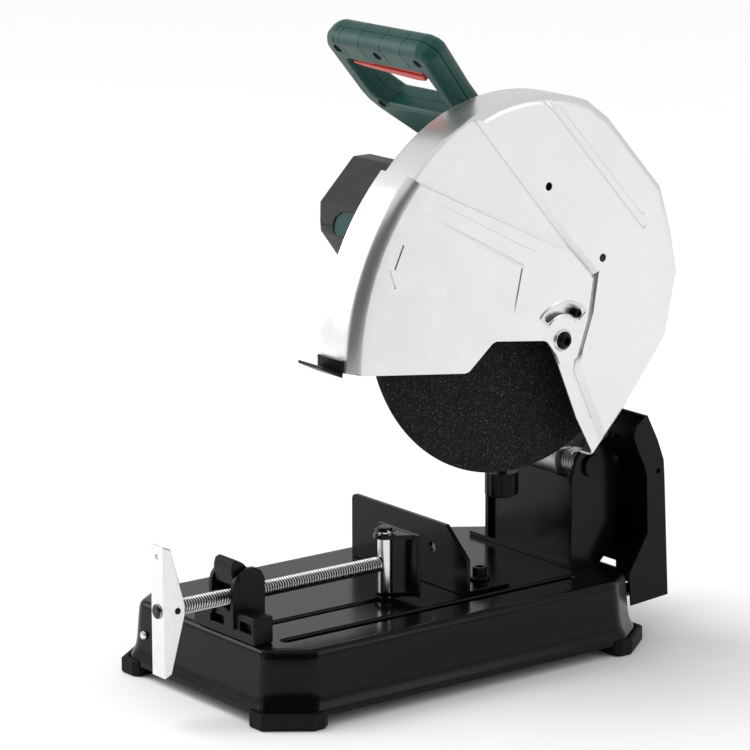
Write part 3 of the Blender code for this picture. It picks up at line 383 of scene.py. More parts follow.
def enamel(name, colour, dusty, low, high, specular=0.5):
    """Sprayed or powder coated steel: orange peel, faint haze and a little dust."""
    paint = Paint(name, colour, low, specular=specular)
    haze = paint.ranged(paint.noise(9.0, 5.0, 0.62), 0.35, 0.7, 0.0, 1.0)
    dust = paint.ranged(paint.noise(420.0, 2.0, 0.6), 0.6, 0.78, 0.0, 0.35)
    paint.colour(
        paint.blended(paint.maths("MAXIMUM", paint.maths("MULTIPLY", haze, 0.5), dust), colour, dusty)
    )
    paint.roughness(paint.ranged(paint.noise(26.0, 6.0, 0.65), 0.3, 0.72, low, high))
    paint.bump(paint.noise(330.0, 2.0, 0.5), 0.035, 0.5)
    paint.bump(paint.noise(1500.0, 1.0, 0.5), 0.010, 0.35)
    return paint.material


def silver_paint():
    """Silver white paint on pressed sheet: fine flake, orange peel and soft clouding."""
    light, deep = (0.812, 0.81, 0.802), (0.782, 0.78, 0.773)
    paint = Paint("guard_white", light, 0.3, metallic=0.9)
    cloud = paint.noise(7.0, 4.0, 0.6)
    flake = paint.ranged(paint.cells(700.0, output="Color"), 0.2, 0.9, 0.0, 0.08)
    mixed = paint.maths("ADD", paint.ranged(cloud, 0.3, 0.7, 0.0, 0.6), flake)
    paint.colour(paint.blended(mixed, light, deep))
    paint.roughness(paint.ranged(paint.noise(34.0, 5.0, 0.6), 0.3, 0.7, 0.26, 0.33))
    paint.bump(paint.noise(260.0, 1.5, 0.5), 0.02, 0.25)
    return paint.material


def plated(name, light, deep, low, high, metallic=1.0, streak=(1.0, 1.0, 1.0), spangle=120.0):
    """Zinc or bare machined metal: brushed streaks, faint spangle and stains."""
    paint = Paint(name, light, low, metallic=metallic)
    brushed = paint.noise(900.0, 3.0, 0.7, paint.stretched(streak))
    stain = paint.noise(60.0, 5.0, 0.7)
    grain = paint.cells(spangle, output="Color")
    mixed = paint.maths(
        "ADD", paint.ranged(stain, 0.45, 0.8, 0.0, 0.6), paint.ranged(grain, 0.0, 1.0, 0.0, 0.3)
    )
    paint.colour(paint.blended(mixed, light, deep))
    paint.roughness(paint.ranged(brushed, 0.3, 0.7, low, high))
    paint.bump(brushed, 0.012, 0.5)
    return paint.material


def threaded(centre):
    """Zinc plate on a thread about an axis along y, with painted shade in the roots: the colour darkens towards
    the axis.
    """
    light, deep = (0.78, 0.78, 0.79), (0.05, 0.05, 0.052)
    paint = Paint("zinc_thread", light, 0.24, metallic=1.0)
    split = paint.node("ShaderNodeSeparateXYZ")
    paint.link(paint.place, split.inputs["Vector"])
    squares = []
    for output, middle in ((split.outputs["X"], centre.x), (split.outputs["Z"], centre.z)):
        away = paint.maths("SUBTRACT", output, middle)
        squares.append(paint.maths("MULTIPLY", away, away))
    radius = paint.maths("SQRT", paint.maths("ADD", *squares), 0.0)
    # Painted shade: below the crest radius the colour goes over to the dark shade colour, deepest in the thread
    # roots.
    crest = paint.ranged(radius, 6.9 * MM, 7.7 * MM, 0.0, 1.0)
    paint.colour(paint.blended(crest, deep, light))
    paint.roughness(paint.ranged(paint.noise(300.0), 0.3, 0.7, 0.2, 0.34))
    paint.bump(paint.noise(900.0, 3.0, 0.7), 0.012, 0.5)
    return paint.material


def cast_metal():
    """Die cast aluminium: sandy skin with soft flow marks."""
    light, deep = (0.55, 0.56, 0.57), (0.36, 0.37, 0.39)
    paint = Paint("alloy", light, 0.45, metallic=0.9)
    flow = paint.noise(38.0, 6.0, 0.65)
    skin = paint.noise(900.0, 4.0, 0.7)
    paint.colour(paint.blended(paint.ranged(flow, 0.35, 0.75, 0.0, 0.8), light, deep))
    paint.roughness(paint.ranged(skin, 0.3, 0.7, 0.38, 0.6))
    paint.bump(flow, 0.15, 0.4)
    paint.bump(skin, 0.05, 0.7)
    return paint.material


def moulded(name, colour, pale, low, high, grain=1300.0, depth=0.03, specular=0.5):
    """Moulded plastic: spark eroded grain, slight flow mottling and handling shine."""
    paint = Paint(name, colour, low, specular=specular)
    mottle = paint.ranged(paint.noise(55.0, 5.0, 0.65), 0.35, 0.75, 0.0, 0.7)
    fine = paint.noise(grain, 3.0, 0.65)
    paint.colour(paint.blended(mottle, colour, pale))
    shine = paint.ranged(paint.noise(22.0, 3.0, 0.5), 0.3, 0.7, low, high)
    paint.roughness(paint.maths("ADD", shine, paint.ranged(fine, 0.3, 0.7, -0.03, 0.05)))
    paint.bump(fine, depth, 0.6)
    return paint.material


def abrasive_wheel():
    """Resin bonded grit over glass cloth: dark grains, pale grit specks that are also painted glints, and a faint
    weave.
    """
    dark, mid, pale = (0.0030, 0.0030, 0.0036), (0.0085, 0.0085, 0.0105), (0.21, 0.21, 0.23)
    paint = Paint("abrasive", dark, 0.85, specular=0.16)
    clump = paint.noise(240.0, 4.0, 0.75)
    grit = paint.noise(850.0, 2.0, 0.6)
    sparkle = paint.cells(1150.0, output="Color")
    # Pale specks: real pale grit, and painted glints where grit facets would catch the light.
    pale_grit_and_glint = paint.maths(
        "MULTIPLY", paint.ranged(sparkle, 0.66, 0.9, 0.0, 1.0), paint.ranged(grit, 0.47, 0.7, 0.0, 1.0)
    )
    body = paint.blended(paint.ranged(clump, 0.35, 0.7, 0.0, 1.0), dark, mid)
    paint.colour(paint.blended(pale_grit_and_glint, body, pale))
    paint.roughness(paint.ranged(grit, 0.3, 0.7, 0.6, 0.95))
    weave = paint.node(
        "ShaderNodeTexWave", wave_type="BANDS", bands_direction="Y", Scale=52.0, Distortion=0.6
    )
    weft = paint.node(
        "ShaderNodeTexWave", wave_type="BANDS", bands_direction="Z", Scale=52.0, Distortion=0.6
    )
    for band in (weave, weft):
        paint.link(paint.place, band.inputs["Vector"])
    paint.bump(paint.maths("MULTIPLY", weave.outputs["Fac"], weft.outputs["Fac"]), 0.12, 0.3)
    paint.bump(clump, 0.5, 0.7)
    paint.bump(grit, 0.35, 0.8)
    return paint.material


def windings():
    """Lacquered copper wire laid round an iron core."""
    light, deep = (0.62, 0.27, 0.12), (0.30, 0.10, 0.05)
    paint = Paint("copper", light, 0.35, metallic=0.9)
    wire = paint.node(
        "ShaderNodeTexWave", wave_type="BANDS", bands_direction="X", Scale=320.0, Distortion=0.4
    )
    paint.link(paint.place, wire.inputs["Vector"])
    paint.colour(paint.blended(wire.outputs["Fac"], deep, light))
    paint.roughness(paint.ranged(paint.noise(300.0), 0.3, 0.7, 0.3, 0.5))
    paint.bump(wire.outputs["Fac"], 0.3, 0.8)
    return paint.material


def made_materials():
    along_x, along_y, along_z = (0.02, 1.0, 1.0), (1.0, 0.02, 1.0), (1.0, 1.0, 0.02)
    return {
        "gloss_black": enamel(
            "gloss_black", (0.0020, 0.0021, 0.0024), (0.0038, 0.0039, 0.0043), 0.14, 0.24, 0.16
        ),
        "satin_black": enamel(
            "satin_black", (0.0030, 0.0030, 0.0034), (0.0058, 0.0058, 0.0063), 0.3, 0.44, 0.17
        ),
        "rubber": moulded(
            "rubber", (0.0042, 0.0042, 0.0045), (0.0085, 0.0085, 0.009), 0.6, 0.75, 700.0, 0.08, 0.2
        ),
        "guard_white": silver_paint(),
        "zinc": plated("zinc", (0.80, 0.80, 0.81), (0.60, 0.60, 0.62), 0.16, 0.3, streak=along_y),
        "zinc_upright": plated(
            "zinc_upright", (0.80, 0.80, 0.81), (0.58, 0.58, 0.60), 0.10, 0.24, streak=along_z
        ),
        "zinc_white": plated(
            "zinc_white", (0.84, 0.84, 0.835), (0.74, 0.74, 0.73), 0.2, 0.3, 0.92, along_z, 300.0
        ),
        "steel": plated("steel", (0.58, 0.57, 0.56), (0.36, 0.35, 0.34), 0.25, 0.42, streak=along_x),
        "alloy": cast_metal(),
        "green": moulded(
            "green", (0.0080, 0.052, 0.043), (0.011, 0.068, 0.056), 0.34, 0.46, 1500.0, 0.035, 0.33
        ),
        "grey_plastic": moulded(
            "grey_plastic", (0.018, 0.0185, 0.021), (0.029, 0.030, 0.033), 0.42, 0.55, specular=0.3
        ),
        "red": moulded("red", (0.50, 0.050, 0.038), (0.58, 0.085, 0.065), 0.33, 0.45),
        "zinc_thread": threaded(sum(node_box("vise_screw"), Vector()) / 2 * MM + SHIFT * MM),
        "abrasive": abrasive_wheel(),
        "copper": windings(),
        "black_plastic": moulded(
            "black_plastic", (0.008, 0.008, 0.009), (0.014, 0.014, 0.0155), 0.42, 0.58, specular=0.28
        ),
    }


MATERIALS = made_materials()


# Base


BASE_HALF = (145.0, 237.0)
BASE_CUT = (28.5, 39.0)
BASE_TOP = 81.5
SHEET = 2.5


def base_ring(drop, z, radius):
    hx, hy = BASE_HALF[0] - drop, BASE_HALF[1] - drop
    cut_x, cut_y = BASE_CUT[0] * hx / BASE_HALF[0], BASE_CUT[1] * hy / BASE_HALF[1]
    corners = []
    for sx, sy, turned in ((1, -1, False), (1, 1, True), (-1, 1, False), (-1, -1, True)):
        side = [(sx * (hx - cut_x), sy * hy), (sx * hx, sy * (hy - cut_y))]
        corners += reversed(side) if turned else side
    return [(x, y, z) for x, y in rounded(corners, radius, 6)]


def groove(x, half, y_low, y_high, floor):
    """A round ended groove whose upper edge is drawn over in a soft curve."""
    rings = []
    for z, more in (
        (floor, 0.0),
        (BASE_TOP - 2.4, 0.0),
        (BASE_TOP - 1.2, 0.5),
        (BASE_TOP - 0.5, 1.3),
        (BASE_TOP + 0.4, 3.4),
    ):
        wide = half + more
        outline = arc((x, y_high - half), wide, 0, 180, 14) + arc((x, y_low + half), wide, 180, 360, 14)
        rings.append([(a, b, z) for a, b in outline])
    return stack(rings)


def build_base():
    skin = [
        (0.0, 17.0, 24.0), (0.0, 19.0, 24.0), (0.3, 21.5, 24.0), (1.2, 24.2, 24.0), (2.7, 27.5, 24.0),
        (4.1, 31.5, 24.0), (5.2, 36.0, 24.0), (6.0, 42.0, 23.0), (6.6, 50.0, 22.0), (7.4, 62.0, 21.0),
        (8.2, 72.0, 20.0), (8.9, 75.8, 19.0), (10.0, 78.4, 18.0), (11.6, 80.3, 17.0), (13.6, 81.2, 16.0), (
            17.0, 81.5, 14.0
        ),
    ]
    outer = [base_ring(drop, z, radius) for drop, z, radius in skin]
    inner = []
    for drop, z, radius in reversed(skin):
        inner.append(base_ring(drop + SHEET, max(z - SHEET, 17.0 + 0.01 * drop), radius - 1.0))
    tray = stack(inner + outer)
    floor = BASE_TOP - 9.0
    supports = [
        groove_bar(93.4, 8.0, -200.0, 172.0, floor - SHEET, BASE_TOP - 1.0),
        groove_bar(38.0, 7.0, -178.0, 6.0, BASE_TOP - 6.0, BASE_TOP - 1.0),
    ]
    tray = combined(tray, supports, "UNION")
    fence_pivot = joint_place_xy("fence_swivel")
    reach = fence_pivot[0] + 64.0
    outline = arc(fence_pivot, reach + 4.6, 148, 181, 16) + arc(fence_pivot, reach - 4.6, 181, 148, 16)
    cuts = [
        groove(93.4, 5.0, -197.0, 169.0, floor),
        groove(38.0, 4.5, -175.5, 3.5, BASE_TOP - 3.5),
        prism(outline, "z", 60.0, 90.0),
        rod("z", fence_pivot, 4.5, 60.0, 90.0, 24),
        rod("y", (88.0, 52.0), 2.7, 215.0, 245.0, 16),
        rod("y", (-38.0, 52.0), 2.7, 215.0, 245.0, 16),
        rod("y", (-93.4, 48.4), 2.6, -245.0, -220.0, 16),
    ]
    tray = combined(tray, cuts)
    bmesh.ops.remove_doubles(tray, verts=tray.verts, dist=WELD_REACH)
    bmesh.ops.dissolve_limit(
        tray, angle_limit=FLAT_TURN, use_dissolve_boundaries=False, verts=tray.verts, edges=tray.edges
    )
    finished(tray, "base_tray_shown", "gloss_black", "base", ("base_tray",), 38.0)
    screw = lathe(
        [
            (-234.9, 0), (-234.9, 1.2), (-234.4, 3.4), (-233.2, 4.4), (-232.0, 4.6), (-231.5, 4.6),
            (-231.5, 2.2), (-224.0, 2.2), (-224.0, 0),
        ],
        "y", (-93.4, 48.4), 24,
    )
    screw = combined(
        screw,
        [
            box((-96.6, -90.2), (-236.0, -233.9), (47.9, 48.9)),
            box((-93.9, -92.9), (-236.0, -233.9), (45.2, 51.6)),
        ],
    )
    finished(screw, "earth_screw", "zinc", "base")
    for side in ("front_near", "front_far", "rear_near", "rear_far"):
        refined("foot_" + side, "rubber", 0.9, 3)


def groove_bar(x, half, y_low, y_high, z_low, z_high):
    outline = arc((x, y_high - half), half, 0, 180, 14) + arc((x, y_low + half), half, 180, 360, 14)
    return prism(outline, "z", z_low, z_high)


def joint_place_xy(name):
    place = Vector(JOINTS[name]["pos_m"]) / MM - SHIFT
    return place.x, place.y


def weld_bead(start, end, radius, seed):
    """A row of overlapping ripples along an inside corner."""
    draw = random.Random(seed)
    start, end = Vector(start), Vector(end)
    length = (end - start).length
    rings = []
    steps = max(int(length / 0.9), 6)
    across = Vector((0.0, 1.0, 0.0)) if abs((end - start).normalized().y) < 0.5 else Vector((0.0, 0.0, 1.0))
    along = (end - start).normalized()
    side = along.cross(across).normalized()
    for i in range(steps + 1):
        share = i / steps
        ripple = 1.0 + 0.16 * math.sin(i * math.pi / 1.5) + draw.uniform(-0.05, 0.05)
        fade = min(1.0, 0.25 + 6 * share, 0.25 + 6 * (1 - share))
        r = radius * ripple * fade
        centre = start + (end - start) * share
        ring = []
        for k in range(10):
            angle = k * math.pi / 5
            ring.append(centre + across * r * math.cos(angle) + side * r * math.sin(angle))
        rings.append(ring)
    return stack(rings)


def build_stand():
    beads = []
    for x in (69.2, -61.0):
        beads.append(weld_bead((x, 192.9, 92.0), (x, 192.9, 130.0), 1.9, 3))
        beads.append(weld_bead((x, 192.9, 142.0), (x, 192.9, 172.0), 1.9, 4))
    for x in (-50.0, -12.0, 30.0):
        beads.append(weld_bead((x, 193.0, 86.6), (x + 26.0, 193.0, 86.6), 1.8, 5))
    refined("stand", "gloss_black", 0.7, 2, extra=beads)
    refined("spark_guard", "gloss_black", 0.6, 2)
    for name in ("spark_screw_near", "spark_screw_far"):
        refined(name, "zinc", 0.25, 2)
    refined("pivot_shaft", "satin_black", 0.6, 2)


def build_spring():
    """Torsion spring in round wire, with straight legs against the stand and the head."""
    wire, coil, turns, low, high = 1.65, 13.5, 5, 43.0, 64.0
    steps = turns * 32
    path = []
    for i in range(steps + 1):
        angle = math.radians(100.0 + 360.0 * turns * i / steps)
        path.append(
            Vector(
                (
                    low + (high - low) * i / steps,
                    PIVOT[0] + coil * math.cos(angle),
                    PIVOT[1] + coil * math.sin(angle),
                ),
            ),
        )
    first, last = path[0], path[-1]
    path.insert(0, first + Vector((0.0, -19.0, 1.0)))
    path.append(last + Vector((0.0, -16.0, 1.5)))
    finished(sweep(path, wire, 12), "torsion_spring_shown", "steel", "base", ("torsion_spring",))


def build_fence():
    refined(
        "fence",
        "gloss_black",
        0.6,
        2,
        extra=[
            weld_bead((-90.0, 41.5, 87.0), (-60.0, 41.5, 87.0), 1.8, 6),
            weld_bead((20.0, 41.5, 87.0), (50.0, 41.5, 87.0), 1.8, 7),
        ],
    )
    for name in ("fence_pivot_bolt", "fence_clamp_bolt"):
        refined(name, "satin_black", 0.45, 2)


# Vise


def build_vise():
    refined("vise_bracket", "satin_black", 1.0, 3)
    refined("release_lever", "satin_black", 0.9, 3)
    refined("release_pin", "satin_black", 0.5, 2)
    refined("jaw", "gloss_black", 0.6, 2)
    refined("jaw_clip", "satin_black", 0.2, 2)
    refined("crank_handle", "zinc_white", 1.6, 4)
    refined("crank_pin", "satin_black", 0.6, 3)
    build_screw()
    low, high = node_box("jaw_pin")
    centre = ((low.x + high.x) / 2, (low.y + high.y) / 2)
    shaft = [(83.5, 0), (83.5, 6.0), (83.8, 6.6), (84.6, 7.4), (85.2, 7.5), (152.5, 7.5), (153.0, 7.2)]
    shaft += [(153.0, 6.0), (154.4, 6.0), (154.4, 0)]
    finished(lathe(shaft, "z", centre, 48), "jaw_pin_shown", "zinc_upright", "carriage", ("jaw_pin",))
    top = [(154.5, 0), (154.5, 7.3), (155.0, 7.5), (156.0, 7.5), (156.7, 7.0), (157.0, 6.2)]
    top += [(157.0, 1.5), (156.2, 0)]
    finished(lathe(top, "z", centre, 48), "jaw_pin_top", "gloss_black", "carriage")


def build_screw():
    """Vise screw with a rolled thread, a peened outer end and a plain nose in the jaw pin."""
    low, high = node_box("vise_screw")
    centre = ((low.x + high.x) / 2, (low.z + high.z) / 2)
    pitch, depth, outer = 3.0, 1.45, 8.0
    start, end = -302.0, -43.0
    sides, steps = 28, 8
    total = int((end - start) / pitch * steps)
    rings = []

    def ring(y, radius_of):
        points = []
        for k in range(sides):
            angle = 2 * math.pi * k / sides
            radius = radius_of(angle)
            points.append((centre[0] + radius * math.cos(angle), y, centre[1] + radius * math.sin(angle)))
        return points

    for y, radius in (
        (-310.0, 3.0),
        (-309.8, 4.6),
        (-309.2, 6.2),
        (-308.4, 7.2),
        (-307.4, 7.5),
        (-307.2, 5.0),
        (-304.2, 5.0),
        (-304.0, 6.6),
        (-303.0, 7.8),
    ):
        rings.append(ring(y, lambda angle, r=radius: r))
    for i in range(total + 1):
        y = start + (end - start) * i / total

        def thread(angle, y=y):
            turn = (y / pitch - angle / (2 * math.pi)) % 1.0
            crest = abs(2 * turn - 1)
            share = min(max((crest - 0.3) / 0.55, 0.0), 1.0)
            fade = min((y - start) / 2.0, (end - y) / 2.0, 1.0)
            return outer - 0.15 - depth * fade * (share * share * (3 - 2 * share))

        rings.append(ring(y, thread))
    for y, radius in ((-42.0, 7.4), (-40.8, 6.6), (-40.6, 4.6), (-30.0, 4.6), (-29.2, 3.8)):
        rings.append(ring(y, lambda angle, r=radius: r))
    screw = stack(rings)
    screw = combined(screw, [rod("x", (-291.0, centre[1]), 3.2, 20.0, 70.0, 20)])
    finished(screw, "vise_screw_shown", "zinc_thread", "screw", ("vise_screw",), 60.0)


# Head


def hex_screw(axis, centre, low, high, radius, socket, look, name, body, sign=1.0):
    """Cylinder head screw with a hexagon socket in its outer face."""
    head = lathe(
        [(low, 0), (low, radius), (high - 0.5 * sign, radius), (high, radius - 0.5), (high, 0)],
        axis,
        centre,
        28,
    )
    outline = circle(centre, socket, 6)
    ends = sorted((high - 2.4 * sign, high + 1.0 * sign))
    finished(combined(head, [prism(outline, axis, *ends)]), name, look, body)


def build_gearbox():
    ribs = []
    for angle in (20, 65, 110, 160):
        y, z = MOTOR[0] + 51.0 * math.cos(math.radians(angle)), MOTOR[1] + 51.0 * math.sin(
            math.radians(angle)
        )
        ribs.append(
            rod(
                "x",
                (y - 1.5 * math.cos(math.radians(angle)), z - 1.5 * math.sin(math.radians(angle))),
                6.0,
                30.0,
                71.0,
                24,
            ),
        )
    refined("gear_case", "alloy", 0.8, 3, extra=ribs, smooth=30.0)
    refined("gear_cover", "alloy", 0.8, 3)
    for i, (y, z) in enumerate(((-38.0, 0.0), (38.0, 0.0), (-38.0, 56.0), (38.0, 56.0))):
        hex_screw(
            "x",
            (SPINDLE[0] + y, SPINDLE[1] + z),
            78.4,
            78.75,
            4.2,
            2.2,
            "zinc",
            f"cover_screw_{i + 1}",
            "head",
        )
    for name in (
        "spindle_bearing_front",
        "spindle_bearing_rear",
        "motor_bearing_front",
        "motor_bearing_rear",
        "field_core",
    ):
        refined(name, "steel", 0.4, 2)
    refined("armature", "copper", 0.25, 1)


def build_spindle():
    refined("spindle", "steel", 0.5, 2)
    refined("spindle_gear", "steel", 0.15, 1)
    refined("inner_flange", "steel", 0.5, 2)
    refined("outer_flange", "steel", 0.5, 2)
    refined("wheel_bolt", "zinc", 0.5, 2)
    low, high = node_box("cutting_wheel")
    radius = (high.z - low.z) / 2
    near, far = high.x, low.x
    profile = [
        (far, 12.7), (far, 40.0), (far + 0.02, 100.0), (far, radius - 0.8),
        (far + 0.25, radius - 0.2), (far + 0.8, radius),
    ]
    profile += [
        (near - 0.8, radius), (near - 0.25, radius - 0.2), (near, radius - 0.8),
        (near - 0.02, 100.0), (near, 40.0), (near, 12.7),
    ]
    wheel = lathe(profile, "x", SPINDLE, 180, ring=True)
    finished(wheel, "cutting_wheel_shown", "abrasive", "spindle", ("cutting_wheel",))


VENT_X = 4.0


def build_motor():
    low, high = node_box("motor_cap")
    end = low.x
    slots = []
    for row in range(-2, 3):
        if row == 0:
            continue
        y = MOTOR[0] + row * 11.0
        half = 16.0 - 3.0 * abs(row)
        outline = arc((y, MOTOR[1] + half), 2.0, 0, 180, 8) + arc((y, MOTOR[1] - half), 2.0, 180, 360, 8)
        slots.append(prism(outline, "x", end - 2.0, end + 4.0))
    seam_z = MOTOR[1] - 13.0
    seam_plate = box((end - 4.0, -100.0), (MOTOR[0] - 60.0, MOTOR[0] + 60.0), (seam_z - 0.35, seam_z + 0.35))
    seam_core = box((end + 0.9, -90.0), (MOTOR[0] - 52.2, MOTOR[0] + 52.2), (seam_z - 2.0, seam_z + 2.0))
    seam = combined(seam_plate, [seam_core])
    cap = combined(cad_shape("motor_cap"), slots + [seam])
    finished(eased(cap, 0.7, 3, 34.0), "motor_cap_shown", "grey_plastic", "head", ("motor_cap",))
    for i, (y, z) in enumerate(((-26.0, 26.0), (26.0, 26.0), (26.0, -26.0))):
        screw = lathe(
            [(end + 2.4, 0), (end + 2.4, 3.4), (end + 0.7, 3.4), (end + 0.2, 2.9), (end + 0.2, 0)], "x",
            (MOTOR[0] + y, MOTOR[1] + z), 24,
        )
        finished(screw, f"cap_screw_{i + 1}", "satin_black", "head")
    housing = cad_shape("motor_housing")
    vents = []
    for k in range(5):
        angle = math.radians(200.0 + 22.0 * k)
        y, z = MOTOR[0] + 50.0 * math.cos(angle), MOTOR[1] + 50.0 * math.sin(angle)
        ends = arc((0.0, 9.0), 1.6, 0, 180, 6) + arc((0.0, -9.0), 1.6, 180, 360, 6)
        vent = prism(ends, "z", -6.0, 6.0)
        turn = Matrix.Rotation(angle - math.pi / 2, 4, "X")
        swap = Matrix.Rotation(math.pi / 2, 4, "Z")
        vent.transform(Matrix.Translation((VENT_X, y, z)) @ turn @ swap)
        vents.append(vent)
    housing = combined(housing, vents)
    finished(eased(housing, 0.6, 2, 34.0), "motor_housing_shown", "green", "head", ("motor_housing",), 36.0)
    for name in ("brush_cap_front", "brush_cap_rear"):
        refined(name, "black_plastic", 0.5, 2)
    low, high = node_box("cord_gland")
    centre = ((low.x + high.x) / 2, (low.z + high.z) / 2)
    profile = [(127.0, 3.4), (127.0, 6.2), (137.9, 6.2), (137.9, 9.0), (141.6, 9.0), (142.4, 8.2)]
    for k in range(5):
        y = 144.5 + 4.6 * k
        r = 7.6 - 0.4 * k
        profile += [(y - 1.0, r), (y + 1.6, r - 0.1), (y + 1.9, r - 1.2), (y + 3.0, r - 1.3)]
    profile += [(167.4, 5.6), (168.0, 5.0), (168.0, 3.4)]
    gland = lathe(profile, "y", centre, 32, ring=True)
    finished(gland, "cord_gland_shown", "rubber", "head", ("cord_gland",))


def build_depth_stop():
    refined("depth_stop", "satin_black", 0.5, 2)


# Guards


def ridge(path, plane_x, profile, taper=10.0, closed=False):
    """A pressed ridge along (y, z) points on a flat; profile gives (offset to the left, height)."""
    dense = []
    corners = path + [path[0]] if closed else path
    for (y0, z0), (y1, z1) in zip(corners, corners[1:]):
        length = math.hypot(y1 - y0, z1 - z0)
        steps = max(int(length / 3.0), 1)
        for k in range(steps):
            dense.append((y0 + (y1 - y0) * k / steps, z0 + (z1 - z0) * k / steps))
    if not closed:
        dense.append(path[-1])
    count = len(dense)
    walked = [0.0]
    for (y0, z0), (y1, z1) in zip(dense, dense[1:]):
        walked.append(walked[-1] + math.hypot(y1 - y0, z1 - z0))
    rings = []
    for i, (y, z) in enumerate(dense):
        if closed:
            before, after = dense[i - 1], dense[(i + 1) % count]
        else:
            before, after = dense[max(i - 1, 0)], dense[min(i + 1, count - 1)]
        along = Vector((after[0] - before[0], after[1] - before[1])).normalized()
        left = Vector((-along.y, along.x))
        share = 1.0 if closed else min(1.0, walked[i] / taper, (walked[-1] - walked[i]) / taper)
        share = share * share * (3 - 2 * share)
        narrow = 0.35 + 0.65 * share
        ring = []
        for offset, height in profile:
            at_y, at_z = y + left.x * offset * narrow, z + left.y * offset * narrow
            ring.append((plane_x - 0.04 + height * share, at_y, at_z))
        ring.append(
            (
                plane_x - 0.6,
                y + left.x * profile[-1][0] * 0.6 * narrow,
                z + left.y * profile[-1][0] * 0.6 * narrow,
            ),
        )
        ring.append(
            (
                plane_x - 0.6,
                y + left.x * profile[0][0] * 0.6 * narrow,
                z + left.y * profile[0][0] * 0.6 * narrow,
            ),
        )
        rings.append(ring)
    return stack(rings, closed=closed)


def hump(half, height, lean=0.0, steps=8):
    """Cross-section of a ridge, with its crest moved by lean."""
    section = []
    for k in range(steps + 1):
        t = -1.0 + 2.0 * k / steps
        section.append((half * t + lean * (1 - t * t), height * 0.5 * (1 + math.cos(math.pi * t))))
    return section


FRONT_FLAT_X = 125.0
JOGGLE = [(-1.0, 579.5), (14.0, 569.6), (134.6, 430.2), (163.4, 400.8), (156.7, 359.9), (143.9, 324.6)]
JOGGLE += [(140.1, 306.6), (164.0, 254.6)]


def build_guards():
    flat_x = 129.5
    creases = []
    for line, radius, deep in (
        ([(83.1, 595.6), (111.0, 571.4), (228.1, 442.0)], 5.0, 0.85),
        ([(98.4, 589.4), (123.4, 569.0), (226.2, 455.8)], 5.0, 0.5),
    ):
        creases.append(sweep([Vector((flat_x + radius - deep, y, z)) for y, z in line], radius, 40))
    for x, share, radius in ((FRONT_FLAT_X, 0.0, 0.75), (flat_x, 0.5, 0.5)):
        path = [Vector((x + 0.15, y + 9.2 * share, z + 7.8 * share)) for y, z in JOGGLE]
        creases.append(sweep(path, radius, 8))
    shell = combined(eased(cad_shape("fixed_guard"), 0.55, 3, 30.0), creases)
    finished(shell, "fixed_guard_shown", "guard_white", "head", ("fixed_guard",), 31.0)
    refined("guard_back_plate", "guard_white", 0.4, 2)
    for name in ("guard_plug_upper", "guard_plug_lower"):
        refined(name, "black_plastic", 0.25, 2)
    build_moving_guard()


def build_moving_guard():
    near = node_box("moving_guard")[1].x
    shell = cad_shape("moving_guard")
    strokes = []
    for (y0, z0), (y1, z1) in (((-78.9, 462.0), (-89.6, 439.2)), ((-96.0, 439.8), (-89.0, 420.9))):
        along = Vector((y1 - y0, z1 - z0)).normalized()
        side = Vector((-along.y, along.x)) * 1.1
        outline = [
            (y0 + side.x, z0 + side.y), (y0 - side.x, z0 - side.y), (y1 - side.x, z1 - side.y),
            (y1 + side.x, z1 + side.y),
        ]
        strokes.append(prism(outline, "x", near - 1.25, near + 2.0))
    shell = combined(shell, strokes)
    shell = eased(shell, 0.5, 3, 30.0)
    arc_path = arc(GUARD_PIVOT, 38.6, 40.0, 139.0, 26) + arc(GUARD_PIVOT, 24.4, 139.0, 40.0, 18)
    extras = [
        ridge([(-45.1, 484.3), (69.6, 422.5), (57.8, 370.8)], near, hump(2.6, 0.75, -0.8), 22.0),
        ridge([(-48.0, 502.0), (60.0, 446.0), (95.0, 430.0)], near, hump(2.2, 0.4), 22.0),
        ridge(arc_path, near, hump(2.0, 1.0), closed=True),
        lathe(
            [
                (near - 0.8, 9.2), (near + 1.6, 9.2), (near + 2.0, 9.5), (near + 2.0, 10.2),
                (near + 1.5, 10.8), (near - 0.2, 11.6), (near - 0.8, 11.6),
            ],
            "x",
            GUARD_PIVOT,
            48,
            ring=True,
        ),
    ]
    finished(joined(shell, *extras), "moving_guard_shown", "guard_white", "guard", ("moving_guard",), 31.0)
    refined("guard_tab", "satin_black", 0.35, 2)
    bolt = lathe(
        [(118.0, 0), (118.0, 8.5), (123.0, 8.5), (123.0, 5.0), (near + 0.1, 5.0), (near + 0.1, 8.7),
         (near + 2.6, 8.7),
         (near + 4.6, 7.4), (near + 6.0, 6.2), (near + 6.4, 5.4), (near + 6.4, 0)],
        "x", GUARD_PIVOT, 40,
    )
    bolt = combined(bolt, [prism(circle(GUARD_PIVOT, 4.4, 6), "x", near + 2.0, near + 9.0)])
    finished(bolt, "guard_pivot_bolt_shown", "satin_black", "head", ("guard_pivot_bolt",))
    refined("guide_screw", "satin_black", 0.4, 2)


# Handle


HANDLE_ORIGIN = (0.0, -8.9, 621.5)
HANDLE_TILT = math.radians(49.8)
HANDLE_DEPTH = 31.0
HANDLE_HALF = 86.0


def handle_matrix():
    down = Vector((0.0, math.cos(HANDLE_TILT), -math.sin(HANDLE_TILT)))
    through = Vector((0.0, math.sin(HANDLE_TILT), math.cos(HANDLE_TILT)))
    turn = Matrix((Vector((1.0, 0.0, 0.0)), down, through)).transposed().to_4x4()
    return Matrix.Translation(HANDLE_ORIGIN) @ turn


def in_handle(bm):
    bm.transform(handle_matrix())
    bmesh.ops.recalc_face_normals(bm, faces=bm.faces)
    return bm


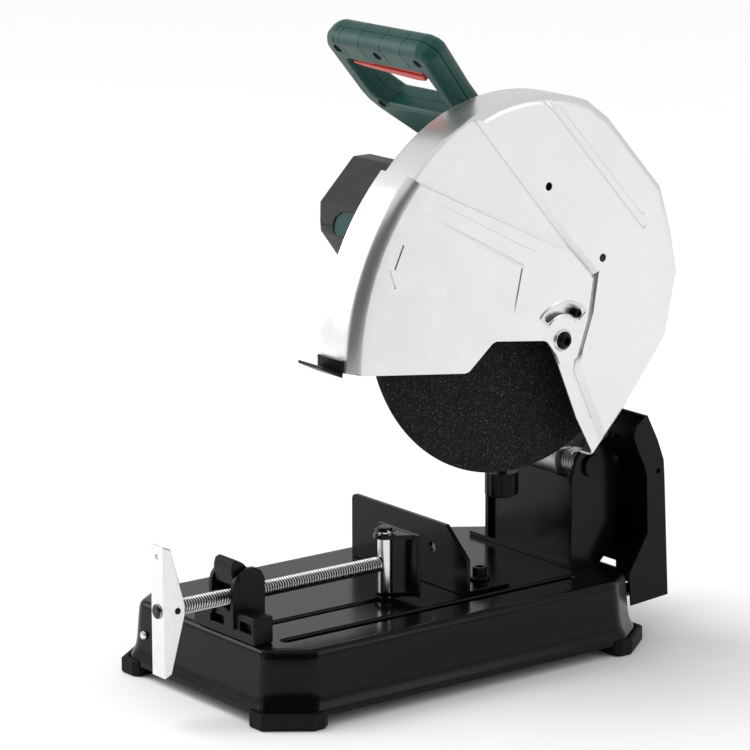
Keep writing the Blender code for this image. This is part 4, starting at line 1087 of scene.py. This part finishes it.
def grip_line(x, bow, sign, face, middle):
    """A fine groove pressed round the grip, from the front face over the edge to the parting line."""
    section = [
        (8.0, 0.0), (2.0, 0.0), (-4.0, 0.0), (-7.0, 0.1), (-9.6, 0.8), (-12.2, 2.0), (-14.6, 3.7),
        (-16.2, 6.0), (-17.2, 9.0), (-17.5, 12.0), (-17.5, 15.4),
    ]
    path = []
    for k, (y, deep) in enumerate(section):
        share = k / (len(section) - 1)
        path.append(Vector((x + bow * math.sin(math.pi * share), y, face + sign * deep)))
    return in_handle(sweep(path, 0.55, 8))


def build_handle():
    half = HANDLE_HALF
    top = [(-68.0, -17.5), (-79.0, -13.0), (-half, -4.0)]
    far_side = [(-half, 64.0), (-83.0, 78.0), (-73.0, 91.0), (-33.0, 124.0), (-33.0, 168.0)]
    near_side = [(33.0, 168.0), (33.0, 124.0), (71.0, 93.0), (78.2, 82.0), (78.2, 55.0)]
    outline = near_side + [(-x, y) for x, y in reversed(top)] + top + far_side
    outline.reverse()
    window = [
        (60.0, 16.0), (61.0, 20.0), (61.0, 64.0), (48.0, 76.5), (-48.0, 76.5), (-61.0, 64.0),
        (-61.0, 20.0), (-60.0, 16.0),
    ]
    middle = HANDLE_DEPTH / 2 - 1.0
    screws = [(-64.0, 0.0), (0.0, 0.0), (64.0, 0.0), (-57.0, 78.0)]
    rounding = (
        (0.0, 11.0),
        (0.25, 8.6),
        (1.0, 6.6),
        (2.2, 4.8),
        (3.8, 3.4),
        (5.6, 1.9),
        (7.8, 0.9),
        (10.0, 0.25),
        (12.0, 0.0),
    )
    sides = (("handle_lower", -1.0, middle - 0.25), ("handle_upper", HANDLE_DEPTH - 1.0, middle + 0.25))
    for name, face, far in sides:
        sign = 1.0 if far > face else -1.0
        rings = []
        for deep, drop in rounding:
            points = rounded(inset(outline, drop), max(9.0 - 0.5 * drop, 2.5), 4)
            rings.append([(a, b, face + sign * deep) for a, b in points])
        edge = rounded(outline, 9.0, 4)
        rings.append([(a, b, far - sign * 0.5) for a, b in edge])
        rings.append([(a, b, far) for a, b in rounded(inset(outline, 0.5), 8.7, 4)])
        flare = []
        for deep, more in ((-0.5, 5.2), (0.0, 4.2), (0.5, 2.9), (1.4, 1.7), (2.8, 0.7), (5.0, 0.0)):
            flare.append([(a, b, face + sign * deep) for a, b in rounded(inset(window, -more), 6.0, 4)])
        flare.append([(a, b, far + sign) for a, b in rounded(window, 6.0, 4)])
        low, high = sorted((far + sign, face + sign * 3.0))

        def pocket(points):
            return in_handle(prism(points, "z", low, high))

        hollows = [
            in_handle(stack(flare)),
            pocket([(-56.0, -11.0), (-7.5, -11.0), (-7.5, 14.0), (-56.0, 14.0)]),
            pocket([(7.5, -11.0), (56.0, -11.0), (56.0, 14.0), (7.5, 14.0)]),
            pocket([(-56.0, 7.5), (56.0, 7.5), (56.0, 20.0), (-56.0, 20.0)]),
            pocket([(-22.0, 98.0), (22.0, 98.0), (22.0, 180.0), (-22.0, 180.0)]),
        ]
        for x, y in screws:
            if sign > 0:
                well = lathe(
                    [(-3.0, 0), (-3.0, 6.6), (-0.9, 5.4), (-0.2, 4.9), (3.0, 4.9), (3.0, 0)],
                    "z",
                    (x, y),
                    32,
                )
                hollows.append(in_handle(well))
        for x, bow in ((-60.0, -3.0), (-52.0, -3.0), (-20.0, -3.0), (14.0, -3.0), (47.0, -3.5)):
            hollows.append(grip_line(x, bow, sign, face, middle))
        shell = combined(in_handle(stack(rings)), hollows)
        bmesh.ops.remove_doubles(shell, verts=shell.verts, dist=WELD_REACH)
        bmesh.ops.dissolve_limit(
            shell, angle_limit=FLAT_TURN, use_dissolve_boundaries=False, verts=shell.verts, edges=shell.edges
        )
        finished(shell, name + "_shown", "green", "head", (name,), 36.0)
    for i in range(4):
        refined(f"handle_screw_{i + 1}", "satin_black", 0.3, 2)
    refined("trigger", "red", 0.9, 3)
    refined("switch_module", "black_plastic", 0.6, 2)
    refined("lock_button", "red", 0.4, 2)


# Studio


CAMERA_PLACE = (2.970734, -2.277830, 1.179494)
CAMERA_AZIMUTH = math.radians(52.556)
CAMERA_ELEVATION = math.radians(13.293)
CAMERA_ROLL = math.radians(-0.075)
CAMERA_LENS = 185.052
FLAG_REACH = 1.35
FLAG_SPREAD = math.radians(60.0)
FLAG_BOTTOM = 0.02
FLAG_TOP = 1.7


def add_camera():
    a, e = CAMERA_AZIMUTH, CAMERA_ELEVATION
    back = Vector((math.sin(a) * math.cos(e), -math.cos(a) * math.cos(e), math.sin(e)))
    right = Vector((math.cos(a), math.sin(a), 0.0))
    up = back.cross(right)
    turn = Matrix((right, up, back)).transposed() @ Matrix.Rotation(CAMERA_ROLL, 3, "Z")
    data = bpy.data.cameras.new("camera")
    data.lens = CAMERA_LENS
    data.sensor_width = 36.0
    data.clip_end = 100.0
    camera = bpy.data.objects.new("camera", data)
    camera.matrix_world = Matrix.Translation(CAMERA_PLACE) @ turn.to_4x4()
    bpy.context.scene.collection.objects.link(camera)
    bpy.context.scene.camera = camera
    return back


def add_area(name, place, target, size, power, colour=(1.0, 1.0, 1.0)):
    data = bpy.data.lights.new(name, "AREA")
    data.shape = "RECTANGLE"
    data.size, data.size_y = size
    data.energy = power
    data.color = colour
    light = bpy.data.objects.new(name, data)
    light.location = place
    light.rotation_euler = (Vector(target) - Vector(place)).to_track_quat("-Z", "Y").to_euler()
    bpy.context.scene.collection.objects.link(light)


def add_studio(back):
    bm = bmesh.new()
    bmesh.ops.create_grid(bm, x_segments=24, y_segments=24, size=14.0)
    mesh = bpy.data.meshes.new("floor")
    bm.to_mesh(mesh)
    bm.free()
    floor = bpy.data.objects.new("floor", mesh)
    bpy.context.scene.collection.objects.link(floor)
    paint = Paint("floor", (0.90, 0.90, 0.90), 0.7, specular=0.2)
    paint.colour(paint.blended(paint.noise(1.5), (0.90, 0.90, 0.90), (0.88, 0.88, 0.885)))
    floor.data.materials.append(paint.material)

    flag_mesh = bpy.data.meshes.new("flag")
    facing = math.atan2(back.y, back.x)
    panels = 12
    corners = []
    for k in range(panels + 1):
        turn = facing + FLAG_SPREAD * (2 * k / panels - 1)
        corners.append((FLAG_REACH * math.cos(turn), FLAG_REACH * math.sin(turn), FLAG_BOTTOM))
        corners.append((FLAG_REACH * math.cos(turn), FLAG_REACH * math.sin(turn), FLAG_TOP))
    flag_mesh.from_pydata(corners, [], [(2 * k, 2 * k + 2, 2 * k + 3, 2 * k + 1) for k in range(panels)])
    flag = bpy.data.objects.new("flag", flag_mesh)
    dark = Paint("flag", (0.02, 0.02, 0.02), 0.9)
    flag_mesh.materials.append(dark.material)
    bpy.context.scene.collection.objects.link(flag)
    flag.visible_camera = False
    flag.visible_shadow = False
    flag.visible_diffuse = False

    world = bpy.data.worlds.new("studio")
    world.use_nodes = True
    ground = world.node_tree.nodes["Background"]
    ground.inputs["Color"].default_value = (1.0, 1.0, 1.0, 1.0)
    ground.inputs["Strength"].default_value = 0.74
    bpy.context.scene.world = world
    sun_data = bpy.data.lights.new("overhead", "SUN")
    sun_data.energy = 1.3
    sun_data.angle = math.radians(35.0)
    sun = bpy.data.objects.new("overhead", sun_data)
    sun.rotation_euler = Vector((0.45, 0.35, -1.0)).to_track_quat("-Z", "Y").to_euler()
    sun.visible_glossy = False
    bpy.context.scene.collection.objects.link(sun)
    add_area("softbox_left", (-2.2, -2.0, 1.6), (0.0, 0.0, 0.35), (1.6, 1.8), 34.0)
    add_area("softbox_right", (2.6, 1.4, 1.5), (0.0, 0.0, 0.4), (1.2, 1.6), 9.0)
    bpy.context.scene.view_settings.view_transform = "Standard"


backward = add_camera()
build_base()
build_stand()
build_spring()
build_fence()
build_vise()
build_gearbox()
build_spindle()
build_motor()
build_depth_stop()
build_guards()
build_handle()
add_studio(backward)
